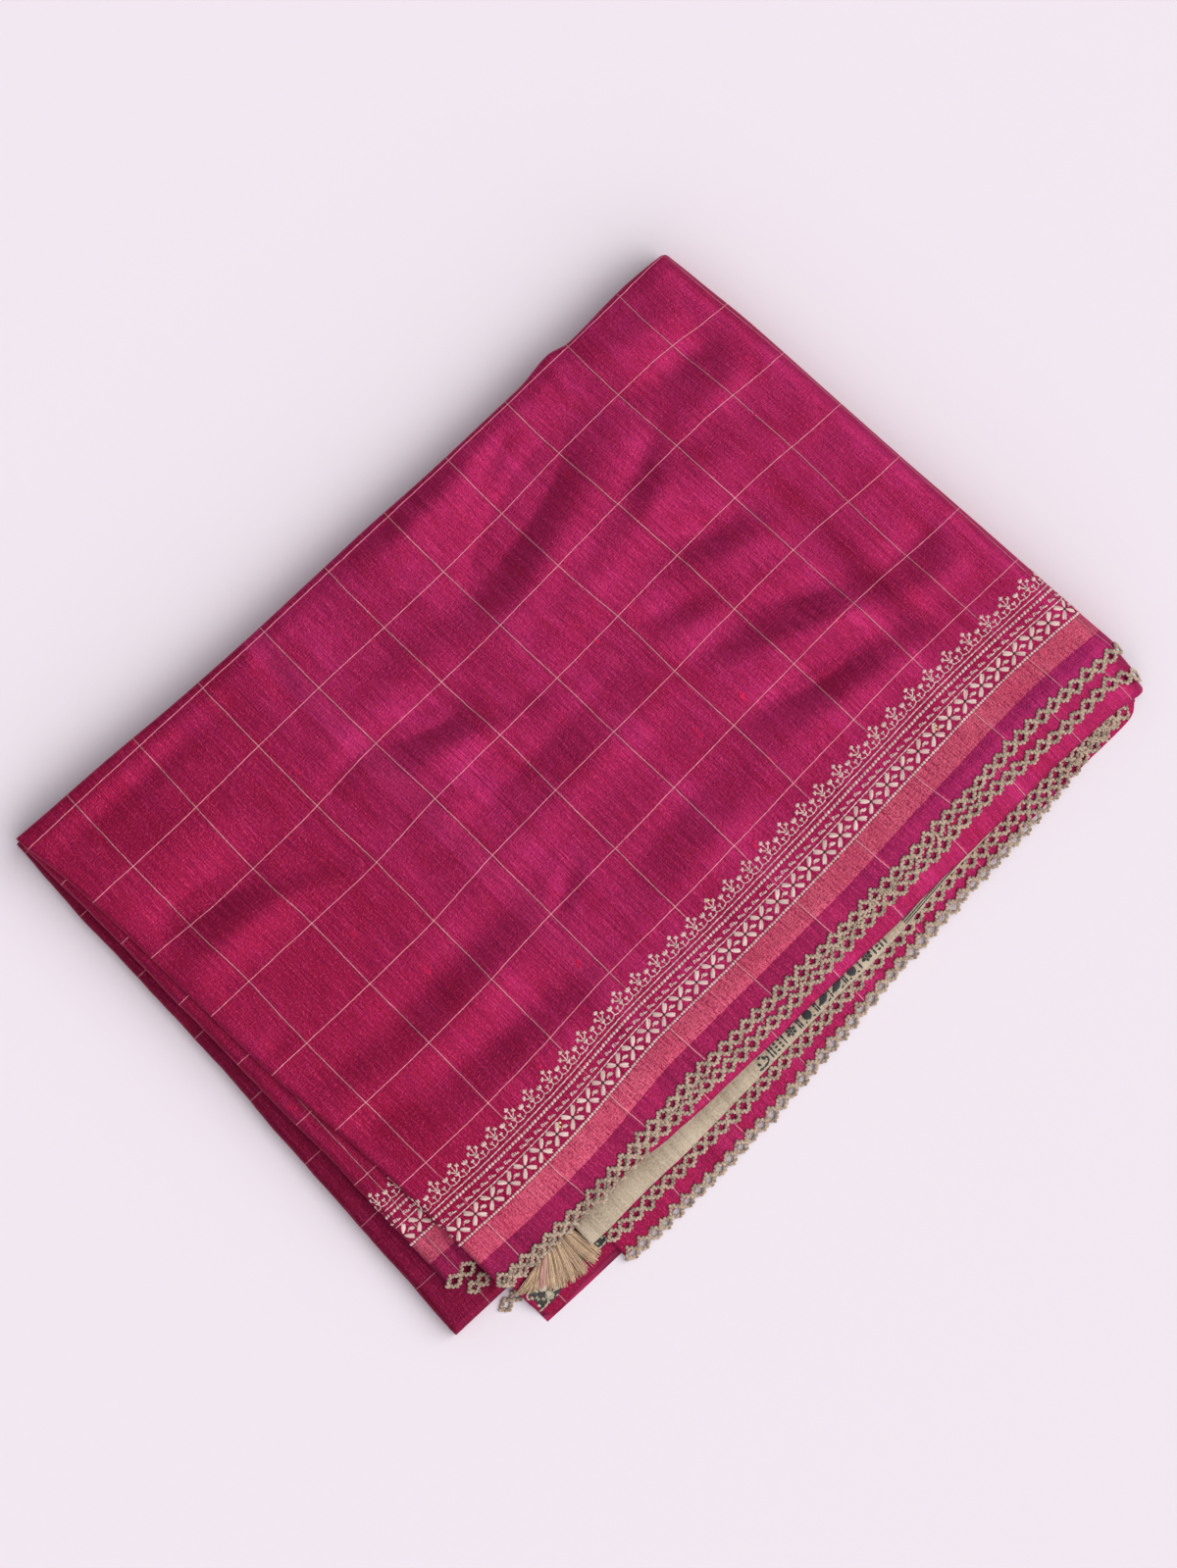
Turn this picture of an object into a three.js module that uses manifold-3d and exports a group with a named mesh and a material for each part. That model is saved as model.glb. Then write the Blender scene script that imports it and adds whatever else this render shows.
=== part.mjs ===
// A handloom silk sari, folded flat into a rectangular pile and laid on a table.
//
// The width is folded in four, which brings both selvedges together along the front of the pile, and the
// length is folded in sixteen. The last fold lies at the right-hand end. The stretches that show are walls
// of silk; the layers that nobody sees share one rounded block, ridged where their folds reach the back.
// Each selvedge carries a crocheted edging, and a short fringe hangs from the end piece at the front left.
//
// Millimetres, +Z up. X runs along the pile and Y from its front to its back. The tables are measured from
// the middle of the pile; FRAME_SHIFT then puts the origin under the centre of the whole object.

import * as THREE from 'three'
import { mergeVertices } from 'three/addons/utils/BufferGeometryUtils.js'
import Module from 'manifold-3d'

const wasm = await Module()
wasm.setup()

/* ---------------------------------------------------------------- driving dimensions */

const SILK = 1.1            // one stretch of silk with the air that lies under it
const SEAM = 0.3            // clearance between neighbouring layers
const PALLU_FOLD = 3.1      // the folded end piece, several layers thick
const FRONT_FOLD = 2.7      // the middle fold of the width, two layers and their roundness
const UNDER_FOLD = 1.5
const PILE_TOP = 24.1       // height of the pile at its middle

const FRAME_SHIFT = new THREE.Vector2(-4.8, 10.5)

// How far each front layer's upper face lies above the upper face of the lowest selvedge.
const LEVEL = { lower: 0 }
LEVEL.inner = LEVEL.lower + SEAM + SILK
LEVEL.pallu = LEVEL.inner + SEAM + PALLU_FOLD
LEVEL.fold = LEVEL.pallu + SEAM + FRONT_FOLD
LEVEL.second = LEVEL.fold + SEAM + SILK
LEVEL.top = LEVEL.second + SEAM + SILK
LEVEL.under = LEVEL.lower - SILK - SEAM

const BED_TOP = PILE_TOP - LEVEL.top
const BED_FOOT = UNDER_FOLD - LEVEL.under
const CREST_Y = -112        // where the layers start to slope down to the front
const INNER_Y = -108.4      // hidden inner ends of the front layers
const CORE_FRONT_Y = -108

const END_RADIUS = 9        // top of the last fold, at the right-hand end
const END_FOOT_RADIUS = 6   // and its foot on the table
const NOSE_RADIUS = 2.4     // folded edges of the top panel, left and back
const NOSE_TURN = THREE.MathUtils.degToRad(130)

const STATION = 12          // spacing of the cross sections along the pile
const LEFT_X = -175.2       // hidden left ends of the layers under the top panel
const CORE_TOP = 21.6
const RIDGE = 3.6           // height of one bundle of hidden folds
const GROOVE = 1.4

const CROCHET = { pitch: 6.8, crest: 5.2, valley: 3.3, thickness: 1.1, lift: 0.1 }

/* ---------------------------------------------------------------- tables */

// Edges of the layers along the front: the distance Y of each edge at a place X.
const FRONT = [
  // x, top panel, second selvedge, middle fold, end piece, inner selvedge, lower selvedge
  { x: -210, top: -137.5, second: -139.0, fold: -141.0, pallu: -154.8, inner: -157.0, lower: -169.0 },
  { x: -178, top: -137.5, second: -139.0, fold: -141.0, pallu: -154.8, inner: -157.0, lower: -169.0 },
  { x: -150, top: -138.0, second: -139.5, fold: -141.5, pallu: -154.8, inner: -157.0, lower: -169.2 },
  { x: -129, top: -137.5, second: -139.5, fold: -141.5, pallu: -154.5, inner: -157.0, lower: -169.0 },
  { x: -100, top: -135.5, second: -138.0, fold: -141.5, pallu: -153.5, inner: -156.0, lower: -168.5 },
  { x: -75, top: -132.0, second: -136.5, fold: -143.0, pallu: -153.0, inner: -155.0, lower: -167.8 },
  { x: -50, top: -129.3, second: -136.0, fold: -143.5, pallu: -152.0, inner: -154.0, lower: -166.5 },
  { x: 0, top: -128.0, second: -135.0, fold: -143.0, pallu: -149.0, inner: -151.0, lower: -161.5 },
  { x: 50, top: -126.0, second: -131.0, fold: -142.5, pallu: -147.3, inner: -147.0, lower: -156.0 },
  { x: 100, top: -122.0, second: -129.0, fold: -141.5, pallu: -142.5, inner: -143.0, lower: -151.5 },
  { x: 133, top: -119.5, second: -126.5, fold: -140.7, pallu: -140.7, inner: -142.0, lower: -149.0 },
  { x: 150, top: -118.0, second: -127.0, fold: -140.7, pallu: -140.5, inner: -141.0, lower: -147.5 },
  { x: 180, top: -116.8, second: -128.0, fold: -140.5, pallu: -140.0, inner: -140.5, lower: -145.5 },
  { x: 200, top: -117.4, second: -127.0, fold: -141.0, pallu: -139.0, inner: -140.0, lower: -144.5 },
  { x: 216, top: -118.6, second: -128.0, fold: -141.5, pallu: -139.0, inner: -140.0, lower: -144.0 },
]

// The fold that lies under the lower selvedge and peeps out at the right.
const UNDER_EDGE = [
  { x: -126, y: -165.8 }, { x: 40, y: -154.0 }, { x: 90, y: -152.3 }, { x: 130, y: -150.2 },
  { x: 150, y: -149.0 }, { x: 175, y: -147.2 }, { x: 190, y: -146.8 }, { x: 203, y: -145.2 },
]

// Front rim of the corner that is turned out at the front left.
const CORNER_RIM = [
  { x: -175, y: -160.0 }, { x: -173.6, y: -164.0 }, { x: -170.5, y: -167.0 }, { x: -165, y: -166.3 },
  { x: -158, y: -165.0 }, { x: -150, y: -164.3 }, { x: -126, y: -164.0 },
]

// Left-hand edges of the three stretches that are stepped at that end, and the right-hand end.
const ENDS = [
  // y, top panel, middle stretch, lower stretch, right-hand end
  { y: -150, top: -178.3, middle: -195.5, lower: -207.6, end: 214.5 },
  { y: -140, top: -178.5, middle: -195.5, lower: -208.3, end: 217.0 },
  { y: -122, top: -178.6, middle: -195.5, lower: -207.9, end: 218.0 },
  { y: -100, top: -179.4, middle: -195.0, lower: -207.2, end: 216.0 },
  { y: -80, top: -180.6, middle: -195.0, lower: -206.6, end: 214.0 },
  { y: -60, top: -182.0, middle: -195.0, lower: -206.2, end: 212.0 },
  { y: -20, top: -186.6, middle: -196.0, lower: -205.0, end: 208.0 },
  { y: 0, top: -188.5, middle: -196.5, lower: -204.0, end: 205.8 },
  { y: 50, top: -191.0, middle: -197.3, lower: -203.2, end: 201.0 },
  { y: 100, top: -193.5, middle: -198.3, lower: -203.5, end: 196.3 },
  { y: 130, top: -196.4, middle: -199.4, lower: -203.0, end: 192.2 },
  { y: 155, top: -199.8, middle: -200.4, lower: -202.2, end: 189.4 },
]

// The back edge of the top panel.
const BACK_EDGE = [
  { x: -210, y: 153.4 }, { x: -180, y: 152.4 }, { x: -150, y: 151.5 }, { x: -100, y: 149.0 },
  { x: -50, y: 148.0 }, { x: 0, y: 148.0 }, { x: 50, y: 147.0 }, { x: 100, y: 147.2 },
  { x: 120, y: 149.4 }, { x: 131, y: 147.0 }, { x: 165, y: 148.5 }, { x: 190, y: 147.5 }, { x: 220, y: 147.5 },
]

// Soft swells and hollows of the top panel: where, how long and wide, how steeply turned, how high.
const SWELLS = [
  { x: -150, y: 100, long: 60, wide: 26, turn: -30, rise: 0.7 },
  { x: -158, y: 64, long: 42, wide: 14, turn: -15, rise: -0.8 },
  { x: -60, y: 28, long: 46, wide: 26, turn: 70, rise: 0.8 },
  { x: -95, y: -45, long: 70, wide: 22, turn: 5, rise: -0.6 },
  { x: -32, y: 62, long: 34, wide: 13, turn: -25, rise: -0.8 },
  { x: 28, y: 112, long: 55, wide: 20, turn: 15, rise: 0.9 },
  { x: 72, y: 90, long: 62, wide: 15, turn: 17, rise: -0.9 },
  { x: 148, y: 112, long: 48, wide: 18, turn: -10, rise: 0.9 },
  { x: 128, y: 52, long: 60, wide: 20, turn: -20, rise: 0.8 },
  { x: 112, y: -18, long: 60, wide: 18, turn: -28, rise: 0.9 },
  { x: 108, y: -42, long: 56, wide: 13, turn: -15, rise: -0.8 },
  { x: 158, y: -30, long: 62, wide: 14, turn: 88, rise: -0.8 },
  { x: 190, y: -8, long: 60, wide: 18, turn: 80, rise: 0.9 },
  { x: 20, y: -50, long: 80, wide: 26, turn: 8, rise: 0.6 },
]

/* ---------------------------------------------------------------- working functions */

const { clamp, lerp, degToRad } = THREE.MathUtils
const ease = (t) => { const c = clamp(t, 0, 1); return c * c * (3 - 2 * c) }
const steps = (from, to, count) => Array.from({ length: count + 1 }, (_, i) => lerp(from, to, i / count))

// Reads one column of a table as a smooth curve that never overshoots its rows.
function curve(table, across, column) {
  const slope = (i, j) => (table[j][column] - table[i][column]) / (table[j][across] - table[i][across])
  const tangents = table.map((_, i) => {
    if (i === 0 || i === table.length - 1) return 0
    const before = slope(i - 1, i)
    const after = slope(i, i + 1)
    return before * after <= 0 ? 0 : 2 * before * after / (before + after)
  })
  return (place) => {
    const s = clamp(place, table[0][across], table[table.length - 1][across])
    let i = 0
    while (i < table.length - 2 && s > table[i + 1][across]) i++
    const width = table[i + 1][across] - table[i][across]
    const t = (s - table[i][across]) / width
    const rise = ease(t)
    return lerp(table[i][column], table[i + 1][column], rise) +
      width * t * (1 - t) * ((1 - t) * tangents[i] - t * tangents[i + 1])
  }
}

const edge = {}
for (const layer of ['top', 'second', 'fold', 'pallu', 'inner', 'lower']) edge[layer] = curve(FRONT, 'x', layer)
const underEdge = curve(UNDER_EDGE, 'x', 'y')
const cornerRim = curve(CORNER_RIM, 'x', 'y')
const backEdge = curve(BACK_EDGE, 'x', 'y')
const leftOf = {}
for (const stretch of ['top', 'middle', 'lower']) leftOf[stretch] = curve(ENDS, 'y', stretch)
const rightEnd = curve(ENDS, 'y', 'end')

// Upper face of the lowest selvedge: level in the pile, then a straight slope down to its foot.
function bed(x, y) {
  const along = clamp((CREST_Y - y) / (CREST_Y - edge.lower(x)), 0, 1)
  return lerp(BED_TOP, BED_FOOT, along)
}

// Height that the swells and hollows add to the top panel, fading out at its edges.
function swell(x, y) {
  let rise = 0
  for (const s of SWELLS) {
    const turn = degToRad(s.turn)
    const along = ((x - s.x) * Math.cos(turn) + (y - s.y) * Math.sin(turn)) / (s.long / 2)
    const across = (-(x - s.x) * Math.sin(turn) + (y - s.y) * Math.cos(turn)) / (s.wide / 2)
    rise += s.rise * Math.exp(-(along * along + across * across))
  }
  const inside = Math.min(x - leftOf.top(y), rightEnd(y) - END_RADIUS - x, backEdge(x) - y, y - CREST_Y)
  return rise * ease(inside / 18)
}

// Upper face of the top panel. Past the crest it bellies out over the straight slope of the bed.
function panelTop(x, y) {
  if (y >= CREST_Y) return PILE_TOP + swell(x, y)
  const rim = edge.top(x)
  const drop = PILE_TOP - bed(x, rim) - LEVEL.top
  const along = (CREST_Y - y) / (CREST_Y - rim)
  return along > 1 ? bed(x, y) + LEVEL.top : PILE_TOP - drop * along ** 1.6
}

// A layer's place after it has turned over the last fold at the right-hand end. The stage counts 0 to 1
// round the top of the fold, 1 to 2 down its side and 2 to 3 round its foot; depth is measured inwards.
function overEnd(top, end, y, stage, depth) {
  const start = end - END_RADIUS
  const height = top(start, y)
  const quarter = Math.PI / 2
  if (stage <= 1) {
    const turn = quarter * stage
    const reach = END_RADIUS - depth
    return new THREE.Vector3(start + reach * Math.sin(turn), y, height - END_RADIUS + reach * Math.cos(turn))
  }
  if (stage <= 2) {
    return new THREE.Vector3(end - depth, y, lerp(height - END_RADIUS, END_FOOT_RADIUS, stage - 1))
  }
  const turn = quarter * (stage - 2)
  const reach = END_FOOT_RADIUS - depth
  const centre = end - END_FOOT_RADIUS
  return new THREE.Vector3(centre + reach * Math.cos(turn), y, END_FOOT_RADIUS - reach * Math.sin(turn))
}

/* ---------------------------------------------------------------- solids from points */

function solid(name, position, index, colour, roughness) {
  const geometry = new THREE.BufferGeometry()
  geometry.setAttribute('position', new THREE.Float32BufferAttribute(position, 3))
  geometry.setIndex(index)
  geometry.computeVertexNormals()
  const material = new THREE.MeshStandardMaterial({ color: colour, roughness, metalness: 0 })
  const mesh = new THREE.Mesh(geometry, material)
  mesh.name = name
  return mesh
}

// A wall of cloth between an upper and a lower grid of points. Rows run to the back, columns to the right.
function wall(name, upper, lower, colour, roughness) {
  const rows = upper.length
  const columns = upper[0].length
  const position = [...upper.flat(), ...lower.flat()].flatMap((p) => [p.x, p.y, p.z])
  const up = (i, j) => i * columns + j
  const down = (i, j) => rows * columns + i * columns + j
  const index = []
  const quad = (a, b, c, d) => index.push(a, b, c, a, c, d)
  for (let i = 0; i < rows - 1; i++) {
    for (let j = 0; j < columns - 1; j++) {
      quad(up(i, j), up(i, j + 1), up(i + 1, j + 1), up(i + 1, j))
      quad(down(i, j), down(i + 1, j), down(i + 1, j + 1), down(i, j + 1))
    }
  }
  const last = { row: rows - 1, column: columns - 1 }
  for (let j = 0; j < last.column; j++) {
    quad(up(0, j + 1), up(0, j), down(0, j), down(0, j + 1))
    quad(up(last.row, j), up(last.row, j + 1), down(last.row, j + 1), down(last.row, j))
  }
  for (let i = 0; i < last.row; i++) {
    quad(up(i, 0), up(i + 1, 0), down(i + 1, 0), down(i, 0))
    quad(up(i + 1, last.column), up(i, last.column), down(i, last.column), down(i + 1, last.column))
  }
  return solid(name, position, index, colour, roughness)
}

// A block whose outline changes with height: rings from the bottom to the top, closed by flat faces.
function block(name, rings, colour, roughness) {
  const count = rings[0].length
  const points = rings.flat()
  const index = []
  for (let i = 0; i < rings.length - 1; i++) {
    for (let j = 0; j < count; j++) {
      const next = (j + 1) % count
      const a = i * count + j
      const b = i * count + next
      index.push(a, b, b + count, a, b + count, a + count)
    }
  }
  const middle = (ring) => ring.reduce((sum, p) => sum.add(p), new THREE.Vector3()).divideScalar(count)
  points.push(middle(rings[0]), middle(rings[rings.length - 1]))
  const top = (rings.length - 1) * count
  for (let j = 0; j < count; j++) {
    const next = (j + 1) % count
    index.push(points.length - 2, next, j, points.length - 1, top + j, top + next)
  }
  return solid(name, points.flatMap((p) => [p.x, p.y, p.z]), index, colour, roughness)
}

/* ---------------------------------------------------------------- materials */

const COLOUR = {
  magenta: 0xa52258, darkMagenta: 0x86194a, hidden: 0x7c1843, pallu: 0xb9aa91, crochet: 0xa59476, fringe: 0xc8ac82,
}
const SILK_ROUGHNESS = 0.55
const YARN_ROUGHNESS = 0.85

const sari = new THREE.Group()
sari.position.set(FRAME_SHIFT.x, FRAME_SHIFT.y, 0)

/* ---------------------------------------------------------------- top panel */

// The uppermost stretch. It is folded under along the left and the back, lies free along its selvedge at
// the front, and turns over the last fold at the right down to the table and a little way under the pile.
const panelColumns = [
  ...steps(1, 0, 3).slice(0, 3).map((share) => ({ part: 'left', turn: NOSE_TURN * share })),
  ...steps(0, 1, 28).map((share) => ({ part: 'flat', share })),
  ...[0.35, 0.7, 1, 1.5, 2, 2.35, 2.7, 3].map((stage) => ({ part: 'end', stage })),
]
const panelRows = [
  ...steps(0, 1, 4).slice(0, 4).map((share) => ({ part: 'front', share })),
  ...steps(0, 1, 16).map((share) => ({ part: 'flat', share })),
  ...steps(0, 1, 3).slice(1).map((share) => ({ part: 'back', turn: NOSE_TURN * share })),
]

function panelPoint(row, column, depth) {
  const backTurn = row.part === 'back' ? row.turn : 0
  const leftTurn = column.part === 'left' ? column.turn : 0
  let x = column.part === 'flat' ? lerp(-170, 195, column.share) : column.part === 'left' ? -185 : 205
  let y = 0
  for (let pass = 0; pass < 4; pass++) {
    const crease = backEdge(x) - NOSE_RADIUS
    if (row.part === 'front') y = lerp(edge.top(x), CREST_Y, row.share)
    else if (row.part === 'flat') y = lerp(CREST_Y, crease, row.share)
    else y = crease + (NOSE_RADIUS - depth) * Math.sin(backTurn)
    const bend = leftOf.top(y) + NOSE_RADIUS
    if (column.part === 'left') x = bend - (NOSE_RADIUS - depth) * Math.sin(leftTurn)
    else x = lerp(bend, rightEnd(y) - END_RADIUS, column.part === 'flat' ? column.share : 1)
  }
  const backDrop = NOSE_RADIUS * (1 - Math.cos(backTurn))
  if (column.part === 'end') {
    const inwards = NOSE_RADIUS - (NOSE_RADIUS - depth) * Math.cos(backTurn)
    return overEnd(panelTop, rightEnd(y), y, column.stage, inwards)
  }
  const leftDrop = NOSE_RADIUS * (1 - Math.cos(leftTurn))
  const facing = Math.min(Math.cos(backTurn), Math.cos(leftTurn))
  const z = panelTop(x, y) - Math.hypot(backDrop, leftDrop) - depth * facing
  return new THREE.Vector3(x, y, z)
}

const panelGrid = (depth) => panelRows.map((row) => panelColumns.map((column) => panelPoint(row, column, depth)))
sari.add(wall('top_panel', panelGrid(0), panelGrid(SILK), COLOUR.magenta, SILK_ROUGHNESS))

/* ---------------------------------------------------------------- front layers */

const stations = (from, to) => steps(from, to, Math.round((to - from) / STATION))

// A layer that lies on the bed: a rounded fold or a plain selvedge along the front, hidden at the back.
// Where it reaches the right-hand end it turns over the last fold as far as the given stage.
function frontLayer({ name, level, thick, rim, from, to, turnTo, round, foot, colour }) {
  const radius = thick / 2
  const insets = round ? [[0, 0.34], [0.18, 0.7], [0.6, 0.94], [1, 1]] : [[0, 1]]
  const top = (x, y) => bed(x, y) + level
  const turned = turnTo ? [turnTo / 2, turnTo] : []
  const end = (y) => rightEnd(y) - (LEVEL.top - level)
  const reach = turnTo ? end(rim(to)) - END_RADIUS : to
  const columns = [...stations(from, reach), ...turned.map((stage) => ({ stage }))]
  const rows = [...insets.map(([share, open]) => ({ inset: share * radius, open }))]
  if (foot) rows.push({ foot: true, open: 1 })
  rows.push({ y: CREST_Y, open: 1 }, { y: INNER_Y, open: 1 })
  const grid = (side) => rows.map((row) => columns.map((column) => {
    const x = column.stage ? reach : column
    const y = row.y ?? (row.foot ? Math.max(edge.lower(x), rim(x) + 0.4) : rim(x) + row.inset)
    const depth = radius - side * radius * row.open
    if (column.stage) return overEnd(top, end(y), y, column.stage, depth)
    return new THREE.Vector3(x, y, top(x, y) - depth)
  }))
  return wall(name, grid(1), grid(-1), colour, SILK_ROUGHNESS)
}

sari.add(frontLayer({
  name: 'second_selvedge', level: LEVEL.second, thick: SILK, rim: edge.second,
  from: LEFT_X, to: 206, turnTo: 0.8, colour: COLOUR.magenta,
}))
sari.add(frontLayer({
  name: 'front_fold', level: LEVEL.fold, thick: FRONT_FOLD, rim: edge.fold,
  from: LEFT_X, to: 204, turnTo: 1, round: true, colour: COLOUR.magenta,
}))
sari.add(frontLayer({
  name: 'pallu_fold', level: LEVEL.pallu, thick: PALLU_FOLD, rim: edge.pallu,
  from: -136, to: 128, round: true, colour: COLOUR.pallu,
}))
sari.add(frontLayer({
  name: 'inner_selvedge', level: LEVEL.inner, thick: SILK, rim: edge.inner,
  from: -129, to: 199, colour: COLOUR.magenta,
}))
sari.add(frontLayer({
  name: 'lower_selvedge', level: LEVEL.lower, thick: SILK, rim: edge.lower,
  from: -129, to: 201, colour: COLOUR.magenta,
}))
sari.add(frontLayer({
  name: 'under_fold', level: LEVEL.under, thick: UNDER_FOLD, rim: underEdge,
  from: -125.7, to: 203, foot: true, colour: COLOUR.darkMagenta,
}))

/* ---------------------------------------------------------------- turned-out corner */

const CORNER = { left: -175, right: -126, swell: 4, swellTo: -131, swellOver: 8, swellFoot: -158, swellDepth: 14 }

// Height of the corner's upper face over the bed: it fills the room of the layers that end to its right.
function cornerTop(x, y) {
  const across = ease((CORNER.swellTo - x) / CORNER.swellOver)
  const deep = ease((y - CORNER.swellFoot) / CORNER.swellDepth)
  return bed(x, y) + LEVEL.under + CORNER.swell * across * deep
}

function cornerGrid(depth) {
  const columns = [-175, -173.6, -170.5, -165, -158, -150, -142, -137, -133, -130, -126]
  const rows = [0, 0.25, 0.5, 0.75, 1]
  const shown = rows.map((share) => columns.map((x) => {
    const y = lerp(cornerRim(x), -143, share)
    return new THREE.Vector3(x, y, cornerTop(x, y) - depth)
  }))
  const hidden = [-130, CREST_Y, INNER_Y].map((y) => columns.map((x) => (
    new THREE.Vector3(x, y, cornerTop(x, y) - depth)
  )))
  return [...shown, ...hidden]
}
sari.add(wall('corner_fold', cornerGrid(0), cornerGrid(UNDER_FOLD), COLOUR.magenta, SILK_ROUGHNESS))

/* ---------------------------------------------------------------- hidden layers */

// Rings at the grooves and crests of each bundle of folds, from the table up to the given height.
function ridgeLevels(bottom, top) {
  const count = Math.round((top - bottom) / RIDGE)
  const height = (top - bottom) / count
  const levels = []
  for (let k = 0; k < count; k++) {
    const z = bottom + k * height
    levels.push({ z, ridge: k, inset: k ? GROOVE : GROOVE / 2 })
    levels.push({ z: z + height * 0.25, ridge: k, inset: 0 }, { z: z + height * 0.75, ridge: k, inset: 0 })
  }
  levels.push({ z: top, ridge: count - 1, inset: GROOVE })
  return levels
}

// No bundle of folds reaches quite as far as the next.
const stagger = (ridge, place) => 0.45 * (1 + Math.sin(ridge * 2.4 + place / 37 + Math.sin(ridge + place / 61)))

const CORE = { left: -176.5, corner: 9, wallGap: SILK + 0.4, frontRight: 202 }

function coreRight(y, z) {
  const end = rightEnd(y)
  const upper = PILE_TOP - END_RADIUS
  if (z > upper) return end - END_RADIUS + Math.sqrt((END_RADIUS - CORE.wallGap) ** 2 - (z - upper) ** 2)
  if (z > END_FOOT_RADIUS) return end - CORE.wallGap
  const reach = (END_FOOT_RADIUS - CORE.wallGap) ** 2 - (END_FOOT_RADIUS - z) ** 2
  return end - END_FOOT_RADIUS - CORE.wallGap + Math.sqrt(Math.max(reach, 0))
}

function coreFront(x, z) {
  const crown = BED_TOP + LEVEL.under - UNDER_FOLD - SEAM
  if (z >= crown) return CORE_FRONT_Y
  const fall = (CREST_Y - edge.lower(x)) / (BED_TOP - BED_FOOT)
  return Math.min(CORE_FRONT_Y, CREST_Y - (crown - z) * fall)
}

function coreRing({ z, ridge, inset }) {
  const ring = []
  const frontX = steps(CORE.left + 2, CORE.frontRight - 2, 16)
  for (const x of frontX) ring.push(new THREE.Vector3(x, coreFront(x, z) + inset, z))
  for (const y of steps(CORE_FRONT_Y + 3, backEdge(180) - CORE.corner, 7)) {
    ring.push(new THREE.Vector3(coreRight(y, z) - inset, y, z))
  }
  const tuck = z > PILE_TOP - 5 ? 1.5 : 0
  for (const x of steps(rightEnd(148) - CORE.corner - 1, CORE.left + 2, 15)) {
    ring.push(new THREE.Vector3(x, backEdge(x) - SEAM - tuck - inset - stagger(ridge, x), z))
  }
  for (const y of [140, 40, -60]) ring.push(new THREE.Vector3(CORE.left + inset, y, z))
  return ring
}
sari.add(block('hidden_layers', ridgeLevels(0, CORE_TOP).map(coreRing), COLOUR.hidden, SILK_ROUGHNESS))

/* ---------------------------------------------------------------- stepped left-hand end */

const LEFT_END = { hiddenX: -177.6, lowerTop: 10, middleTop: 19.8, lowerFront: -142.8, middleFront: -122.5, radius: 3.4 }

// Height of the middle stretch: level, then sinking to the front where fewer layers lie under it.
const SINK = { fromY: -88, slope: 0.136 }
const middleTop = (y) => LEFT_END.middleTop - SINK.slope * Math.max(SINK.fromY - y, 0)

// A stretch that lies on its block and turns down over the left-hand end, and at its front if it is folded.
function steppedWall({ name, left, height, front, bottom, back, foldedFront, colour }) {
  const radius = LEFT_END.radius
  const sideTurns = [
    { drop: 1, turn: Math.PI / 2 }, { drop: 0, turn: Math.PI / 2 },
    { drop: 0, turn: Math.PI / 3 }, { drop: 0, turn: Math.PI / 6 }, { drop: 0, turn: 0 },
  ]
  const rows = foldedFront ? sideTurns.map((turn) => ({ ...turn, y: front })) : [{ drop: 0, turn: 0, y: front }]
  const level = [...steps(front + 2 * radius, SINK.fromY, 4), ...steps(SINK.fromY, back, 13).slice(1)]
  rows.push(...level.map((y) => ({ drop: 0, turn: 0, y })))
  const grid = (depth) => rows.map((row) => {
    const bend = row.turn > 0 || row.drop ? radius : foldedFront && row.y === front ? radius : 0
    const y = row.y + bend - (bend ? (radius - depth) * Math.sin(row.turn) : 0)
    const frontDrop = bend ? radius * (1 - Math.cos(row.turn)) : 0
    const points = sideTurns.map((side) => {
      const x = left(y) + radius - (radius - depth) * Math.sin(side.turn)
      const sideDrop = radius * (1 - Math.cos(side.turn))
      const facing = Math.min(Math.cos(row.turn), Math.cos(side.turn))
      const curved = height(y) - Math.hypot(sideDrop, frontDrop) - depth * facing
      return new THREE.Vector3(x, y, side.drop || row.drop ? bottom : curved)
    })
    const flat = height(y) - frontDrop - depth * Math.cos(row.turn)
    points.push(new THREE.Vector3(LEFT_END.hiddenX, y, row.drop ? bottom : flat))
    return points
  })
  return wall(name, grid(0), grid(SILK), colour, SILK_ROUGHNESS)
}

sari.add(steppedWall({
  name: 'lower_stretch', left: leftOf.lower, height: () => LEFT_END.lowerTop, front: LEFT_END.lowerFront,
  bottom: 0, back: 152.5, foldedFront: true, colour: COLOUR.darkMagenta,
}))
sari.add(steppedWall({
  name: 'middle_stretch', left: leftOf.middle, height: middleTop, front: LEFT_END.middleFront,
  bottom: LEFT_END.lowerTop + SEAM, back: 149, foldedFront: false, colour: COLOUR.magenta,
}))

// The layers inside the two stretches.
function leftBlock({ name, left, height, front, back, bottom }) {
  const inner = LEFT_END.hiddenX
  const top = height(back) - SILK - SEAM
  const rings = ridgeLevels(bottom, top).map(({ z, ridge, inset }) => {
    const side = (y) => left(y) + SILK + 0.4 + (z > height(y) - LEFT_END.radius - SILK ? 1.6 : 0)
    const ring = []
    const start = front(z) + inset
    ring.push(new THREE.Vector3(side(start) + 1.5, start, z), new THREE.Vector3(inner - 2, start, z))
    ring.push(new THREE.Vector3(inner, start + 3, z), new THREE.Vector3(inner, back - 3, z))
    const finish = back - inset - stagger(ridge, ridge * 40)
    ring.push(new THREE.Vector3(inner - 2, finish, z), new THREE.Vector3(side(finish) + 1.5, finish, z))
    for (const y of steps(finish - 3, start + 3, 14)) {
      ring.push(new THREE.Vector3(side(y), y, z))
    }
    return ring
  })
  return block(name, rings, COLOUR.hidden, SILK_ROUGHNESS)
}

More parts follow.
